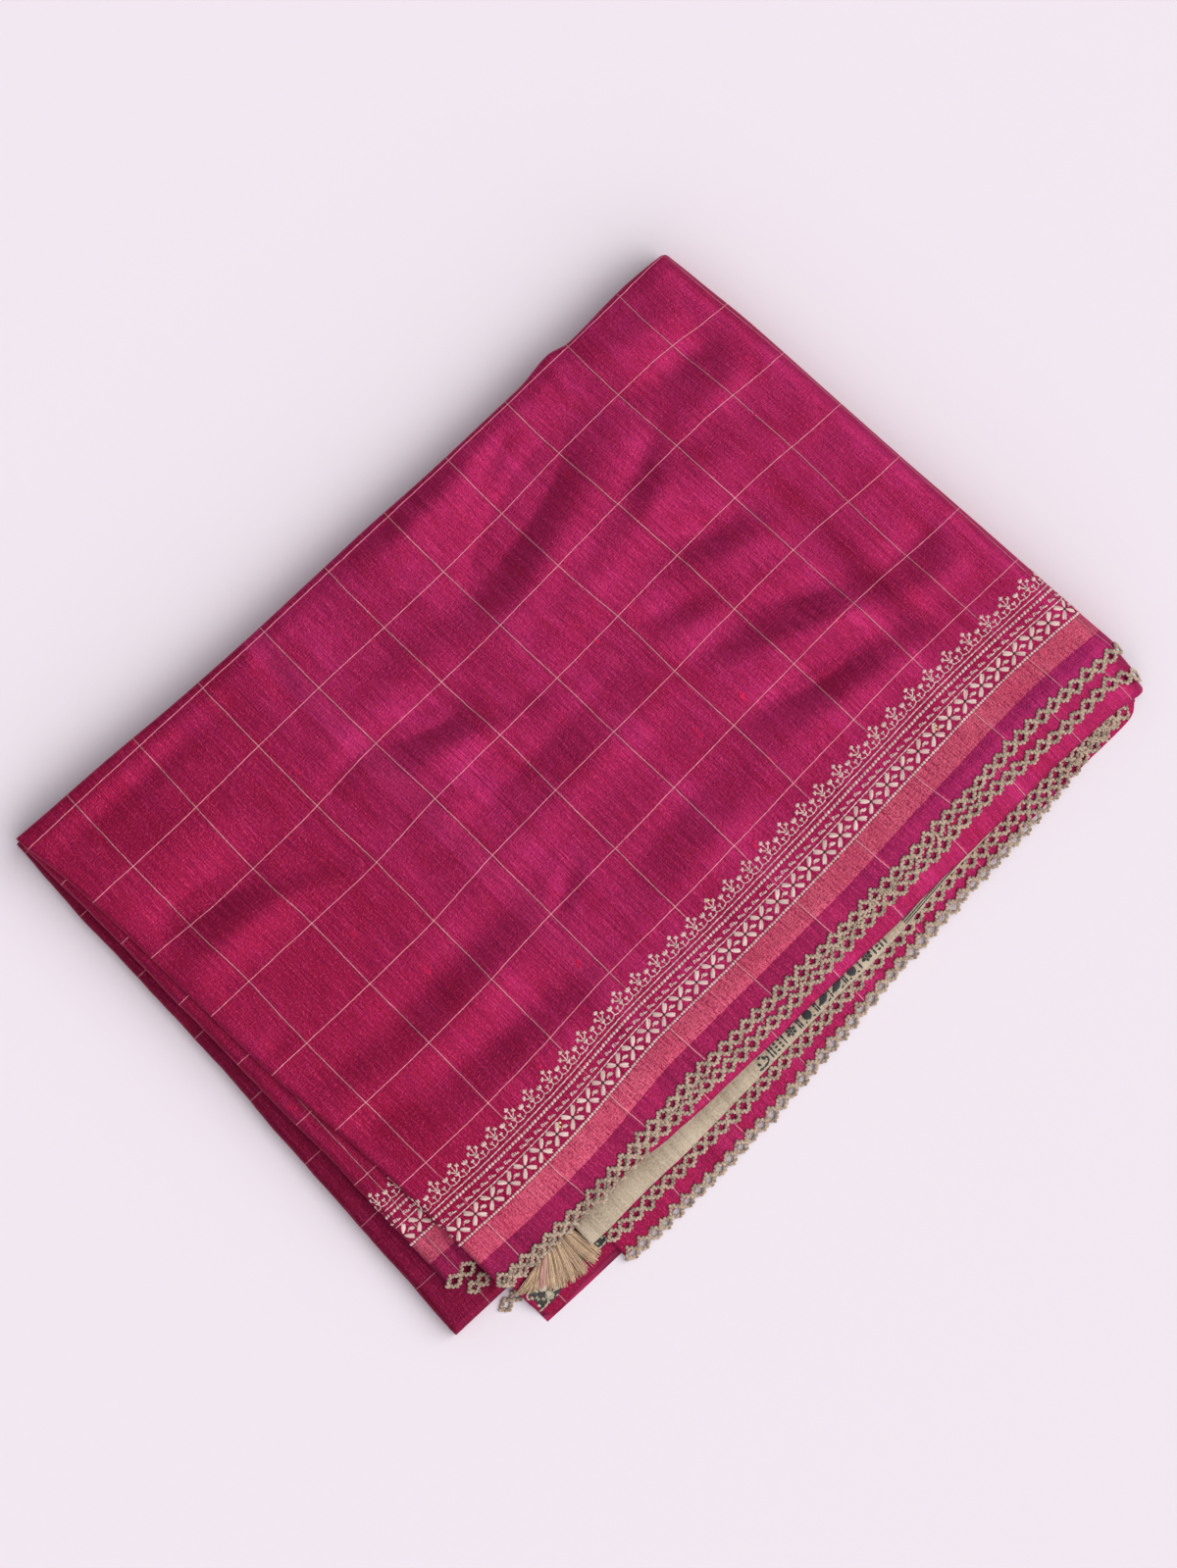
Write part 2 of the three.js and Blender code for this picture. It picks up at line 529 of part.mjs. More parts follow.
sari.add(leftBlock({
  name: 'hidden_layers_lower', left: leftOf.lower, height: () => LEFT_END.lowerTop,
  front: () => LEFT_END.lowerFront + 2.2, back: 152.2, bottom: 0,
}))
sari.add(leftBlock({
  name: 'hidden_layers_middle', left: leftOf.middle, height: middleTop,
  front: (z) => Math.max(SINK.fromY - (LEFT_END.middleTop - SILK - SEAM - z) / SINK.slope, -121.5), back: 148.7,
  bottom: LEFT_END.lowerTop + SEAM,
}))

/* ---------------------------------------------------------------- crocheted edgings */

// One row of crocheted points along a selvedge. The outer rim swings between valleys and crests once a
// pitch; the band starts a seam's clearance outside the cloth and has the cloth's own slope.
function edging(name, from, to, place) {
  const perPoint = 3
  const count = Math.round((to - from) / CROCHET.pitch) * perPoint
  const stitches = Array.from({ length: count + 1 }, (_, i) => ({
    s: lerp(from, to, i / count),
    reach: i % perPoint === 0 ? CROCHET.valley : CROCHET.crest,
  }))
  const grid = (depth) => [
    stitches.map(({ s, reach }) => place(s, reach, depth)),
    stitches.map(({ s }) => place(s, SEAM, depth)),
  ]
  return wall(name, grid(-CROCHET.lift), grid(CROCHET.thickness - CROCHET.lift), COLOUR.crochet, YARN_ROUGHNESS)
}

// Follows a layer of the pile, and turns with it over the last fold.
function alongLayer(level, rim, top) {
  const endOf = (y) => rightEnd(y) - (LEVEL.top - level)
  return (s, out, depth) => {
    const y = rim(s) - out
    const beyond = s - (endOf(y) - END_RADIUS)
    if (beyond > 0) return overEnd(top, endOf(y), y, beyond / (END_RADIUS * Math.PI / 2), depth)
    return new THREE.Vector3(s, y, top(s, y) - depth)
  }
}

const slopeOf = (level) => (x, y) => bed(x, y) + level

sari.add(edging('crochet_top', -177.6, 217.4, alongLayer(LEVEL.top, edge.top, panelTop)))
sari.add(edging('crochet_second', LEFT_X, 214, alongLayer(LEVEL.second, edge.second, slopeOf(LEVEL.second))))
sari.add(edging('crochet_inner', -129, 62, alongLayer(LEVEL.inner, edge.inner, slopeOf(LEVEL.inner))))

// The lowest edging hangs from its selvedge down to the table, or lies on the fold that peeps out there.
const DROOP = BED_FOOT - CROCHET.thickness
sari.add(edging('crochet_lower', -129, 190, (s, out, depth) => {
  const droop = DROOP * (1 - ease((s - 60) / 30)) * clamp((out - SEAM) / CROCHET.valley, 0, 1)
  const lift = SEAM * ease((s - 60) / 30)
  return new THREE.Vector3(s, edge.lower(s) - out, BED_FOOT + lift - CROCHET.lift - droop - depth)
}))

// Ends of the edgings of the stepped stretches, at the front left.
const LEFT_EDGINGS = [
  { name: 'crochet_left_upper', from: -195.2, to: -179.4, y: -122.6, z: 14.6, fall: 2.4 },
  { name: 'crochet_left_middle', from: -188.4, to: -179.4, y: -131.4, z: 11.5, fall: 0 },
  { name: 'crochet_left_lower', from: -182.4, to: -175.7, y: -144.0, z: 1.2, fall: 0 },
]
for (const { name, from, to, y, z, fall } of LEFT_EDGINGS) {
  sari.add(edging(name, from, to, (s, out, depth) => (
    new THREE.Vector3(s, y - out, z - CROCHET.lift - depth - fall * clamp((out - SEAM) / CROCHET.valley, 0, 1))
  )))
}

/* ---------------------------------------------------------------- fringe */

// Tips of the fringe, measured from its backing to the outermost strand.
const FRINGE_RIM = [
  { x: -176, y: -147.5 }, { x: -171, y: -151 }, { x: -166, y: -154.5 }, { x: -161, y: -158.5 },
  { x: -155, y: -161 }, { x: -147, y: -161.8 }, { x: -140, y: -161.2 }, { x: -134.5, y: -159.5 },
]
const FRINGE = { left: -173.5, right: -138, locks: 7, strands: 5, root: 0.72, tip: 0.5, backY: -139.6, frontY: -141.6 }
const FRINGE_CLEAR = 0.45

const toManifold = (geometry) => {
  const bare = geometry.clone()
  for (const extra of ['normal', 'uv']) if (bare.getAttribute(extra)) bare.deleteAttribute(extra)
  const merged = mergeVertices(bare, 1e-5)
  return new wasm.Manifold(new wasm.Mesh({
    numProp: 3,
    vertProperties: Float32Array.from(merged.getAttribute('position').array),
    triVerts: Uint32Array.from(merged.index.array),
  }))
}

// One strand, four-sided, from inside the backing out to its tip, lying on the turned-out corner.
function strand(root, tip) {
  const places = steps(0, 1, 3)
  const side = new THREE.Vector2(root.y - tip.y, tip.x - root.x).normalize()
  const rails = [-1, 1].map((hand) => places.map((share) => {
    const half = hand * lerp(FRINGE.root, FRINGE.tip, share) / 2
    const x = lerp(root.x, tip.x, share) + side.x * half
    const y = lerp(root.y, tip.y, share) + side.y * half
    return { x, y, floor: cornerTop(x, y) + FRINGE_CLEAR, thick: lerp(FRINGE.root, FRINGE.tip, share) }
  }))
  const face = (lift) => rails.map((rail) => rail.map((p) => new THREE.Vector3(p.x, p.y, p.floor + p.thick * lift)))
  return wall('strand', face(1), face(0), COLOUR.fringe, YARN_ROUGHNESS).geometry
}

const rimX = steps(0, 1, 7)
const rimAt = (share) => {
  const i = Math.min(Math.floor(share * 7), 6)
  const t = share * 7 - i
  return new THREE.Vector2(
    lerp(FRINGE_RIM[i].x, FRINGE_RIM[i + 1].x, t), lerp(FRINGE_RIM[i].y, FRINGE_RIM[i + 1].y, t),
  )
}

const backingGrid = (lift) => [FRINGE.frontY, FRINGE.backY].map((y) => (
  steps(FRINGE.left - 0.8, FRINGE.right + 0.8, 6).map((x) => (
    new THREE.Vector3(x, y, cornerTop(x, y) + FRINGE_CLEAR - 0.1 + lift)
  ))
))
let fringe = toManifold(wall('backing', backingGrid(1.2), backingGrid(0), COLOUR.fringe, YARN_ROUGHNESS).geometry)
const total = FRINGE.locks * FRINGE.strands
for (let k = 0; k < total; k++) {
  const lock = Math.floor(k / FRINGE.strands)
  const inLock = (k % FRINGE.strands) / (FRINGE.strands - 1) - 0.5
  const root = new THREE.Vector2(lerp(FRINGE.left, FRINGE.right, k / (total - 1)), FRINGE.frontY + 0.8)
  const share = clamp((lock + 0.5 + inLock * 0.72) / FRINGE.locks, 0, 1)
  const tip = rimAt(share)
  tip.lerp(root, 0.04 + 0.05 * Math.abs(Math.sin(k * 1.7)))
  fringe = fringe.add(toManifold(strand(root, tip)))
}
const fringeMesh = fringe.getMesh()
sari.add(solid('fringe', fringeMesh.vertProperties, [...fringeMesh.triVerts], COLOUR.fringe, YARN_ROUGHNESS))

const group = new THREE.Group()
group.add(sari)

export default group
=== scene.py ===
# A handloom silk sari, folded into a flat pile and laid on a table. The sections follow the pile from the
# table up: the hidden layers, the low stretches at the front, the end piece, the edgings, the turned-out
# corner and its fringe, the stretches at the left, the folds above and the top panel.

import bpy
import numpy as np
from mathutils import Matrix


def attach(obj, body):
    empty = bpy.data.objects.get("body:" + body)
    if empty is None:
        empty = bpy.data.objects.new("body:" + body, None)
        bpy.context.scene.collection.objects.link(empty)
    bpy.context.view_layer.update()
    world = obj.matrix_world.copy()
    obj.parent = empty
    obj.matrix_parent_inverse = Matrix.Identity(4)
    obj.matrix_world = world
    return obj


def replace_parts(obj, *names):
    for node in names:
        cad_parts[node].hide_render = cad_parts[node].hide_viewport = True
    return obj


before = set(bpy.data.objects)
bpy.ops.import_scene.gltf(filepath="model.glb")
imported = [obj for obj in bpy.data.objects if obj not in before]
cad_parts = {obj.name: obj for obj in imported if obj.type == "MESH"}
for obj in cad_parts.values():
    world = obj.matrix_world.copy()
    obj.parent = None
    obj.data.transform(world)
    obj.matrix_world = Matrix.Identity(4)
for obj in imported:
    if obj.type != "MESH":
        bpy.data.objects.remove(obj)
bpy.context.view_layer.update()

# ---------------------------------------------------------------------------------------------- hidden layers
# Most of the sari is never seen. Its layers are folded in four across and in sixteen along, so the back and
# the ends of the pile show the edges of many thin folds, and the front shows a slope of ever shorter
# layers.


def colour(red, green, blue):
    """A colour as the eye reads it on a chart, 0 to 255 each, turned into light values."""
    c = np.array([red, green, blue]) / 255
    linear = np.where(c <= 0.04045, c / 12.92, ((c + 0.055) / 1.055) ** 2.4)
    return (*[float(v) for v in linear], 1.0)


def node(tree, kind, inputs=None, **settings):
    """Adds a node; each input is a value or the socket that feeds it."""
    made = tree.nodes.new(kind)
    for name, value in settings.items():
        setattr(made, name, value)
    for name, value in (inputs or {}).items():
        if isinstance(value, bpy.types.NodeSocket):
            tree.links.new(value, made.inputs[name])
        else:
            made.inputs[name].default_value = value
    return made


def ramp(tree, value, low, high, first=0.0, last=1.0):
    """A straight change from first to last while value goes from low to high, level before and after."""
    return node(tree, "ShaderNodeMapRange", {0: value, 1: low, 2: high, 3: first, 4: last}).outputs[0]


def blend(tree, factor, first, second):
    """The first colour where factor is 0, the second where it is 1, and a mix between."""
    return node(tree, "ShaderNodeMix", {0: factor, 6: first, 7: second}, data_type="RGBA").outputs[2]


def new_material(name):
    made = bpy.data.materials.new(name)
    made.use_nodes = True
    return made, made.node_tree, made.node_tree.nodes["Principled BSDF"]


def dress(tree, shader, base, height, strength, distance, finish):
    """Feeds a colour and a bump to the shader. finish gives the values of its other sockets."""
    tree.links.new(base, shader.inputs["Base Color"])
    bump = node(tree, "ShaderNodeBump", {"Height": height, "Strength": strength, "Distance": distance})
    tree.links.new(bump.outputs[0], shader.inputs["Normal"])
    for socket, value in finish.items():
        shader.inputs[socket].default_value = value


# Thin light rims between dark clefts, which follow the height in the pile. The dark clefts are painted shade
# between the folded layers; the rims keep the silk's own colour, and the same pattern gives the bump.
CLEFT_PAINTED_SHADE = {"deep": colour(70, 6, 30), "rim": colour(146, 24, 70)}
SHEEN = colour(255, 150, 190)
folded_edges, tree, shader = new_material("folded silk edges, painted shade in the clefts")
place = node(tree, "ShaderNodeTexCoord").outputs["Object"]
flattened = node(tree, "ShaderNodeMapping", {"Vector": place, "Scale": (16.0, 16.0, 760.0)}).outputs[0]
clefts = node(tree, "ShaderNodeTexNoise", {"Vector": flattened, "Scale": 1.0, "Detail": 2.0}).outputs["Fac"]
painted_cleft_shade = blend(tree, ramp(tree, clefts, 0.42, 0.58), CLEFT_PAINTED_SHADE["deep"], CLEFT_PAINTED_SHADE["rim"])
dress(tree, shader, painted_cleft_shade, clefts, 0.9, 0.0012, {"Roughness": 0.55, "Specular Tint": SHEEN})
for name in ("hidden_layers", "hidden_layers_lower", "hidden_layers_middle"):
    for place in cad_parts[name].material_slots:
        place.material = folded_edges

# ---------------------------------------------------------------------------------------- low front stretches
# Three stretches of silk lie on the slope at the front: the fold underneath, which peeps out at the right,
# and two selvedges above it, each a plain woven edge with its dark strip.

MM = 0.001
# The tables below are measured, in millimetres, from the middle of the pile.
SHIFT = np.array([-4.8, 10.5, 0.0])

SILK = 1.1  # a visible stretch, two or three layers thick
SEAM = 0.3  # clearance between neighbouring stretches
PALLU_FOLD = 3.1
FRONT_FOLD = 2.7
UNDER_FOLD = 1.5
PILE_TOP = 24.1

# Height of each stretch's upper face over that of the lowest selvedge.
LEVEL = {"lower": 0.0, "under": -SILK - SEAM}
for below, name, thick in (
    ("lower", "inner", SILK), ("inner", "pallu", PALLU_FOLD), ("pallu", "fold", FRONT_FOLD),
    ("fold", "second", SILK), ("second", "top", SILK),
):
    LEVEL[name] = LEVEL[below] + SEAM + thick

BED_TOP = PILE_TOP - LEVEL["top"]
BED_FOOT = UNDER_FOLD - LEVEL["under"]
CREST_Y = -112.0  # where the layers start to slope down to the front

# Edges of the layers along the front, at places X along the pile.
FRONT = {
    "x": [-210, -178, -150, -129, -100, -75, -50, 0, 50, 100, 133, 150, 180, 200, 216],
    "top": [-137.5, -137.5, -138, -137.5, -135.5, -132, -129.3, -128, -126, -122, -119.5, -118, -116.8, -117.4,
            -118.6],
    "second": [-139, -139, -139.5, -139.5, -138, -136.5, -136, -135, -131, -129, -126.5, -127, -128, -127,
               -128],
    "fold": [-141, -141, -141.5, -141.5, -141.5, -143, -143.5, -143, -142.5, -141.5, -140.7, -140.7, -140.5, -141,
             -141.5],
    "pallu": [-154.8, -154.8, -154.8, -154.5, -153.5, -153, -152, -149, -147.3, -142.5, -140.7, -140.5, -140,
              -139, -139],
    "inner": [-157, -157, -157, -157, -156, -155, -154, -151, -147, -143, -142, -141, -140.5, -140, -140],
    "lower": [-169, -169, -169.2, -169, -168.5, -167.8, -166.5, -161.5, -156, -151.5, -149, -147.5, -145.5,
              -144.5, -144],
}

# Left-hand edges of the stepped stretches and the right-hand end, at places Y across the pile.
ENDS = {
    "y": [-150, -140, -122, -100, -80, -60, -20, 0, 50, 100, 130, 155],
    "top": [-178.3, -178.5, -178.6, -179.4, -180.6, -182, -186.6, -188.5, -191, -193.5, -196.4, -199.8],
    "middle": [-195.5, -195.5, -195.5, -195, -195, -195, -196, -196.5, -197.3, -198.3, -199.4, -200.4],
    "lower": [-207.6, -208.3, -207.9, -207.2, -206.6, -206.2, -205, -204, -203.2, -203.5, -203, -202.2],
    "end": [214.5, 217, 218, 216, 214, 212, 208, 205.8, 201, 196.3, 192.2, 189.4],
}

BACK = {
    "x": [-210, -180, -150, -100, -50, 0, 50, 100, 120, 131, 165, 190, 220],
    "y": [153.4, 152.4, 151.5, 149, 148, 148, 147, 147.2, 149.4, 147, 148.5, 147.5, 147.5],
}


def ease(t):
    """Smooth step: level at both ends, three t squared less two t cubed between them."""
    t = np.clip(t, 0.0, 1.0)
    return t * t * (3 - 2 * t)


def curve(places, values):
    """A smooth curve through a table's column: cubic pieces whose slopes are harmonic means, so none
    overshoots."""
    p = np.asarray(places, float)
    v = np.asarray(values, float)
    slope = np.diff(v) / np.diff(p)
    tangent = np.zeros_like(v)
    same_way = slope[:-1] * slope[1:] > 0
    total = np.where(same_way, slope[:-1] + slope[1:], 1.0)
    tangent[1:-1] = np.where(same_way, 2 * slope[:-1] * slope[1:] / total, 0.0)

    def read(s):
        s = np.clip(s, p[0], p[-1])
        i = np.clip(np.searchsorted(p, s) - 1, 0, len(p) - 2)
        width = p[i + 1] - p[i]
        t = (s - p[i]) / width
        bulge = width * t * (1 - t) * ((1 - t) * tangent[i] - t * tangent[i + 1])
        return v[i] + (v[i + 1] - v[i]) * ease(t) + bulge

    return read


edge = {name: curve(FRONT["x"], FRONT[name]) for name in FRONT if name != "x"}
left_of = {name: curve(ENDS["y"], ENDS[name]) for name in ("top", "middle", "lower")}
right_end = curve(ENDS["y"], ENDS["end"])
back_edge = curve(BACK["x"], BACK["y"])


def bed(x, y):
    """Upper face of the lowest selvedge: level in the pile, then a straight slope down to its foot."""
    fall = np.clip((CREST_Y - y) / (CREST_Y - edge["lower"](x)), 0, 1)
    return BED_TOP + (BED_FOOT - BED_TOP) * fall


def grid_faces(rows, columns, closed=False):
    """Four-sided faces between neighbouring rows and columns; closed joins the last column to the first."""
    i, j = np.mgrid[: rows - 1, : columns - (0 if closed else 1)]
    after = (j + 1) % columns
    corners = [i * columns + j, i * columns + after, (i + 1) * columns + after, (i + 1) * columns + j]
    return np.stack(corners, -1).reshape(-1, 4)


def new_piece(name, points, faces, material, cloth=None, tone=None):
    """A mesh from an array of points in millimetres and one of faces. cloth is each point's place on the flat
    cloth, kept as a UV map in metres, and tone a number for each point, kept as an attribute."""
    mesh = bpy.data.meshes.new(name)
    points = np.asarray(points, float).reshape(-1, 3)
    sides = faces.shape[1]
    mesh.vertices.add(len(points))
    mesh.vertices.foreach_set("co", ((points + SHIFT) * MM).ravel())
    mesh.loops.add(faces.size)
    mesh.loops.foreach_set("vertex_index", faces.ravel().astype(np.int32))
    mesh.polygons.add(len(faces))
    mesh.polygons.foreach_set("loop_start", np.arange(0, faces.size, sides, dtype=np.int32))
    mesh.polygons.foreach_set("use_smooth", np.ones(len(faces), bool))
    mesh.update(calc_edges=True)
    if cloth is not None:
        flat = np.asarray(cloth, float).reshape(-1, 2) * MM
        mesh.uv_layers.new(name="cloth").data.foreach_set("uv", flat[faces.ravel()].ravel())
    if tone is not None:
        mesh.attributes.new("tone", "FLOAT", "POINT").data.foreach_set("value", np.asarray(tone, float).ravel())
    mesh.materials.append(material)
    made = bpy.data.objects.new(name, mesh)
    bpy.context.scene.collection.objects.link(made)
    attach(made, "root")
    return made


def math(tree, operation, *values):
    """One step of arithmetic on sockets or numbers."""
    return node(tree, "ShaderNodeMath", dict(enumerate(values)), operation=operation).outputs[0]


def weighted(tree, first, share, second):
    """The average of two values in which the first has the given share."""
    return math(tree, "MULTIPLY_ADD", first, share, math(tree, "MULTIPLY", second, 1 - share))


def tint(tree, ground, mask, strength, over):
    """Lays a colour over the ground where the mask is set, at the given strength."""
    return blend(tree, math(tree, "MULTIPLY", mask, strength), ground, over)


def band(tree, value, low, high, soft):
    """A mask that is 1 where value lies between low and high, with edges of the given softness."""
    rise = ramp(tree, value, low - soft, low + soft)
    return math(tree, "MULTIPLY", rise, ramp(tree, value, high - soft, high + soft, 1.0, 0.0))


def stretched_noise(tree, vector, along, across, detail=2.0, roughness=0.5):
    """Noise whose grains are drawn out: so many to the metre along the cloth and across it."""
    moved = node(tree, "ShaderNodeMapping", {"Vector": vector, "Scale": (along, across, 1.0)}).outputs[0]
    grain = {"Vector": moved, "Scale": 1.0, "Detail": detail, "Roughness": roughness}
    return node(tree, "ShaderNodeTexNoise", grain).outputs["Fac"]


def cloth_group(name, outputs):
    """A shader node group that turns a place on the flat cloth into masks. Returns its tree, the socket of
    the place and the node that the masks feed."""
    tree = bpy.data.node_groups.new(name, "ShaderNodeTree")
    tree.interface.new_socket("Cloth", in_out="INPUT", socket_type="NodeSocketVector")
    for label in outputs:
        tree.interface.new_socket(label, in_out="OUTPUT", socket_type="NodeSocketFloat")
    return tree, tree.nodes.new("NodeGroupInput").outputs["Cloth"], tree.nodes.new("NodeGroupOutput")


# Handloom weave: two sets of uneven threads, long faint streaks along the weft where the dye or the yarn
# changes, bundles of coarser wefts, and short thick slubs.
weave, spot, weave_out = cloth_group(
    "handloom weave", ("Height", "Streak", "Mottle", "Slub", "Bundle", "Thread", "Speckle", "Patch"),
)
warp = stretched_noise(weave, spot, 1500, 260, 1.0)
weft = stretched_noise(weave, spot, 300, 1350, 1.0)
threads = math(weave, "MAXIMUM", warp, weft)
fine = stretched_noise(weave, spot, 300, 9, 3.0, 0.6)
broad = stretched_noise(weave, spot, 38, 2.2)
slub = ramp(weave, stretched_noise(weave, spot, 190, 60), 0.715, 0.78)
coarse = ramp(weave, stretched_noise(weave, spot, 780, 5, 1.0), 0.52, 0.6)
where_coarse = ramp(weave, stretched_noise(weave, spot, 46, 4, 1.0), 0.55, 0.68)
fibre = stretched_noise(weave, spot, 820, 60, 2.0, 0.7)
dots = stretched_noise(weave, spot, 1050, 850, 2.0, 0.8)
for label, mask in {
    "Height": math(weave, "MULTIPLY_ADD", slub, 0.35, threads),
    "Streak": weighted(weave, broad, 0.6, fine),
    "Mottle": stretched_noise(weave, spot, 26, 30, 3.0),
    "Slub": slub,
    "Bundle": math(weave, "MULTIPLY", coarse, where_coarse),
    "Thread": threads,
    "Speckle": weighted(weave, dots, 0.62, fibre),
    "Patch": stretched_noise(weave, spot, 70, 42, 4.0, 0.62),
}.items():
    weave.links.new(mask, weave_out.inputs[label])

# Fine beige lines cross the cloth in squares of about 37 mm, one thin line of doubled yarn at a time.
# Half a millimetre beside each line across the cloth runs a dark line of painted shadow.
CHECK = 37.4
CHECK_LINES = (
    # output, direction on the cloth, offset, half width
    ("Across", 0, 0.0, 0.24), ("Across painted shadow", 0, -0.5, 0.3), ("Along", 1, 60.0, 0.22),
)
LINE_MIDDLE = 0.35
LINE_WANDER = 0.0007
lines, spot, lines_out = cloth_group("check lines", [row[0] for row in CHECK_LINES])
directions = node(lines, "ShaderNodeSeparateXYZ", {0: spot}).outputs
wander = stretched_noise(lines, spot, 90, 90)
strong = ramp(lines, stretched_noise(lines, spot, 700, 700, 1.0), 0.3, 0.55, 0.62, 1.0)
for label, direction, offset, half_width in CHECK_LINES:
    at = math(lines, "MULTIPLY_ADD", wander, LINE_WANDER, directions[direction])
    turns = math(lines, "DIVIDE", math(lines, "SUBTRACT", at, (offset + LINE_MIDDLE) * MM), CHECK * MM)
    in_square = math(lines, "FRACT", math(lines, "ADD", turns, 20.5))
    from_line = math(lines, "ABSOLUTE", math(lines, "SUBTRACT", in_square, 0.5))
    near = half_width / CHECK
    mask = ramp(lines, from_line, near * 0.5, near * 1.4, 1.0, 0.0)
    lines.links.new(math(lines, "MULTIPLY", mask, strong), lines_out.inputs[label])

MAGENTA = {"dark": colour(124, 14, 50), "mid": colour(159, 31, 80), "light": colour(187, 47, 110)}
CRIMSON = colour(142, 12, 44)
PLUM = colour(84, 12, 58)
BLUSH = colour(222, 74, 132)
SLUB_RED = colour(206, 16, 62)
BAND_PINK = {"dark": colour(166, 44, 74), "light": colour(210, 112, 130)}
SELVEDGE = {"dark": colour(102, 14, 50), "light": colour(148, 28, 74)}
INDIGO = colour(60, 24, 58)
FADED = colour(158, 36, 98)
LINE_BEIGE_AND_PAINTED_SHADOW = {"across": colour(222, 154, 160), "shade": colour(88, 40, 58), "along": colour(238, 150, 166)}
LILAC = colour(180, 50, 106)
DYE_AND_PAINTED_SHADE_DARK = colour(30, 0, 12)
WEFT_BARS = [
    # from, to, strength, colour
    (-65.0, -48.8, 0.34, MAGENTA["dark"]), (-48.2, -38.0, 0.36, LILAC), (-31.5, -29.0, 0.25, MAGENTA["dark"]),
    (-96.0, -88.0, 0.2, MAGENTA["dark"]), (14.0, 22.0, 0.14, MAGENTA["dark"]),
    (131.0, 138.0, 0.25, MAGENTA["dark"]),
]
STRIP_TO = 11.5  # the dark strip, the pink band and the border, measured from the selvedge
PINK_TO = 22.9
BORDER_TO = 54.0


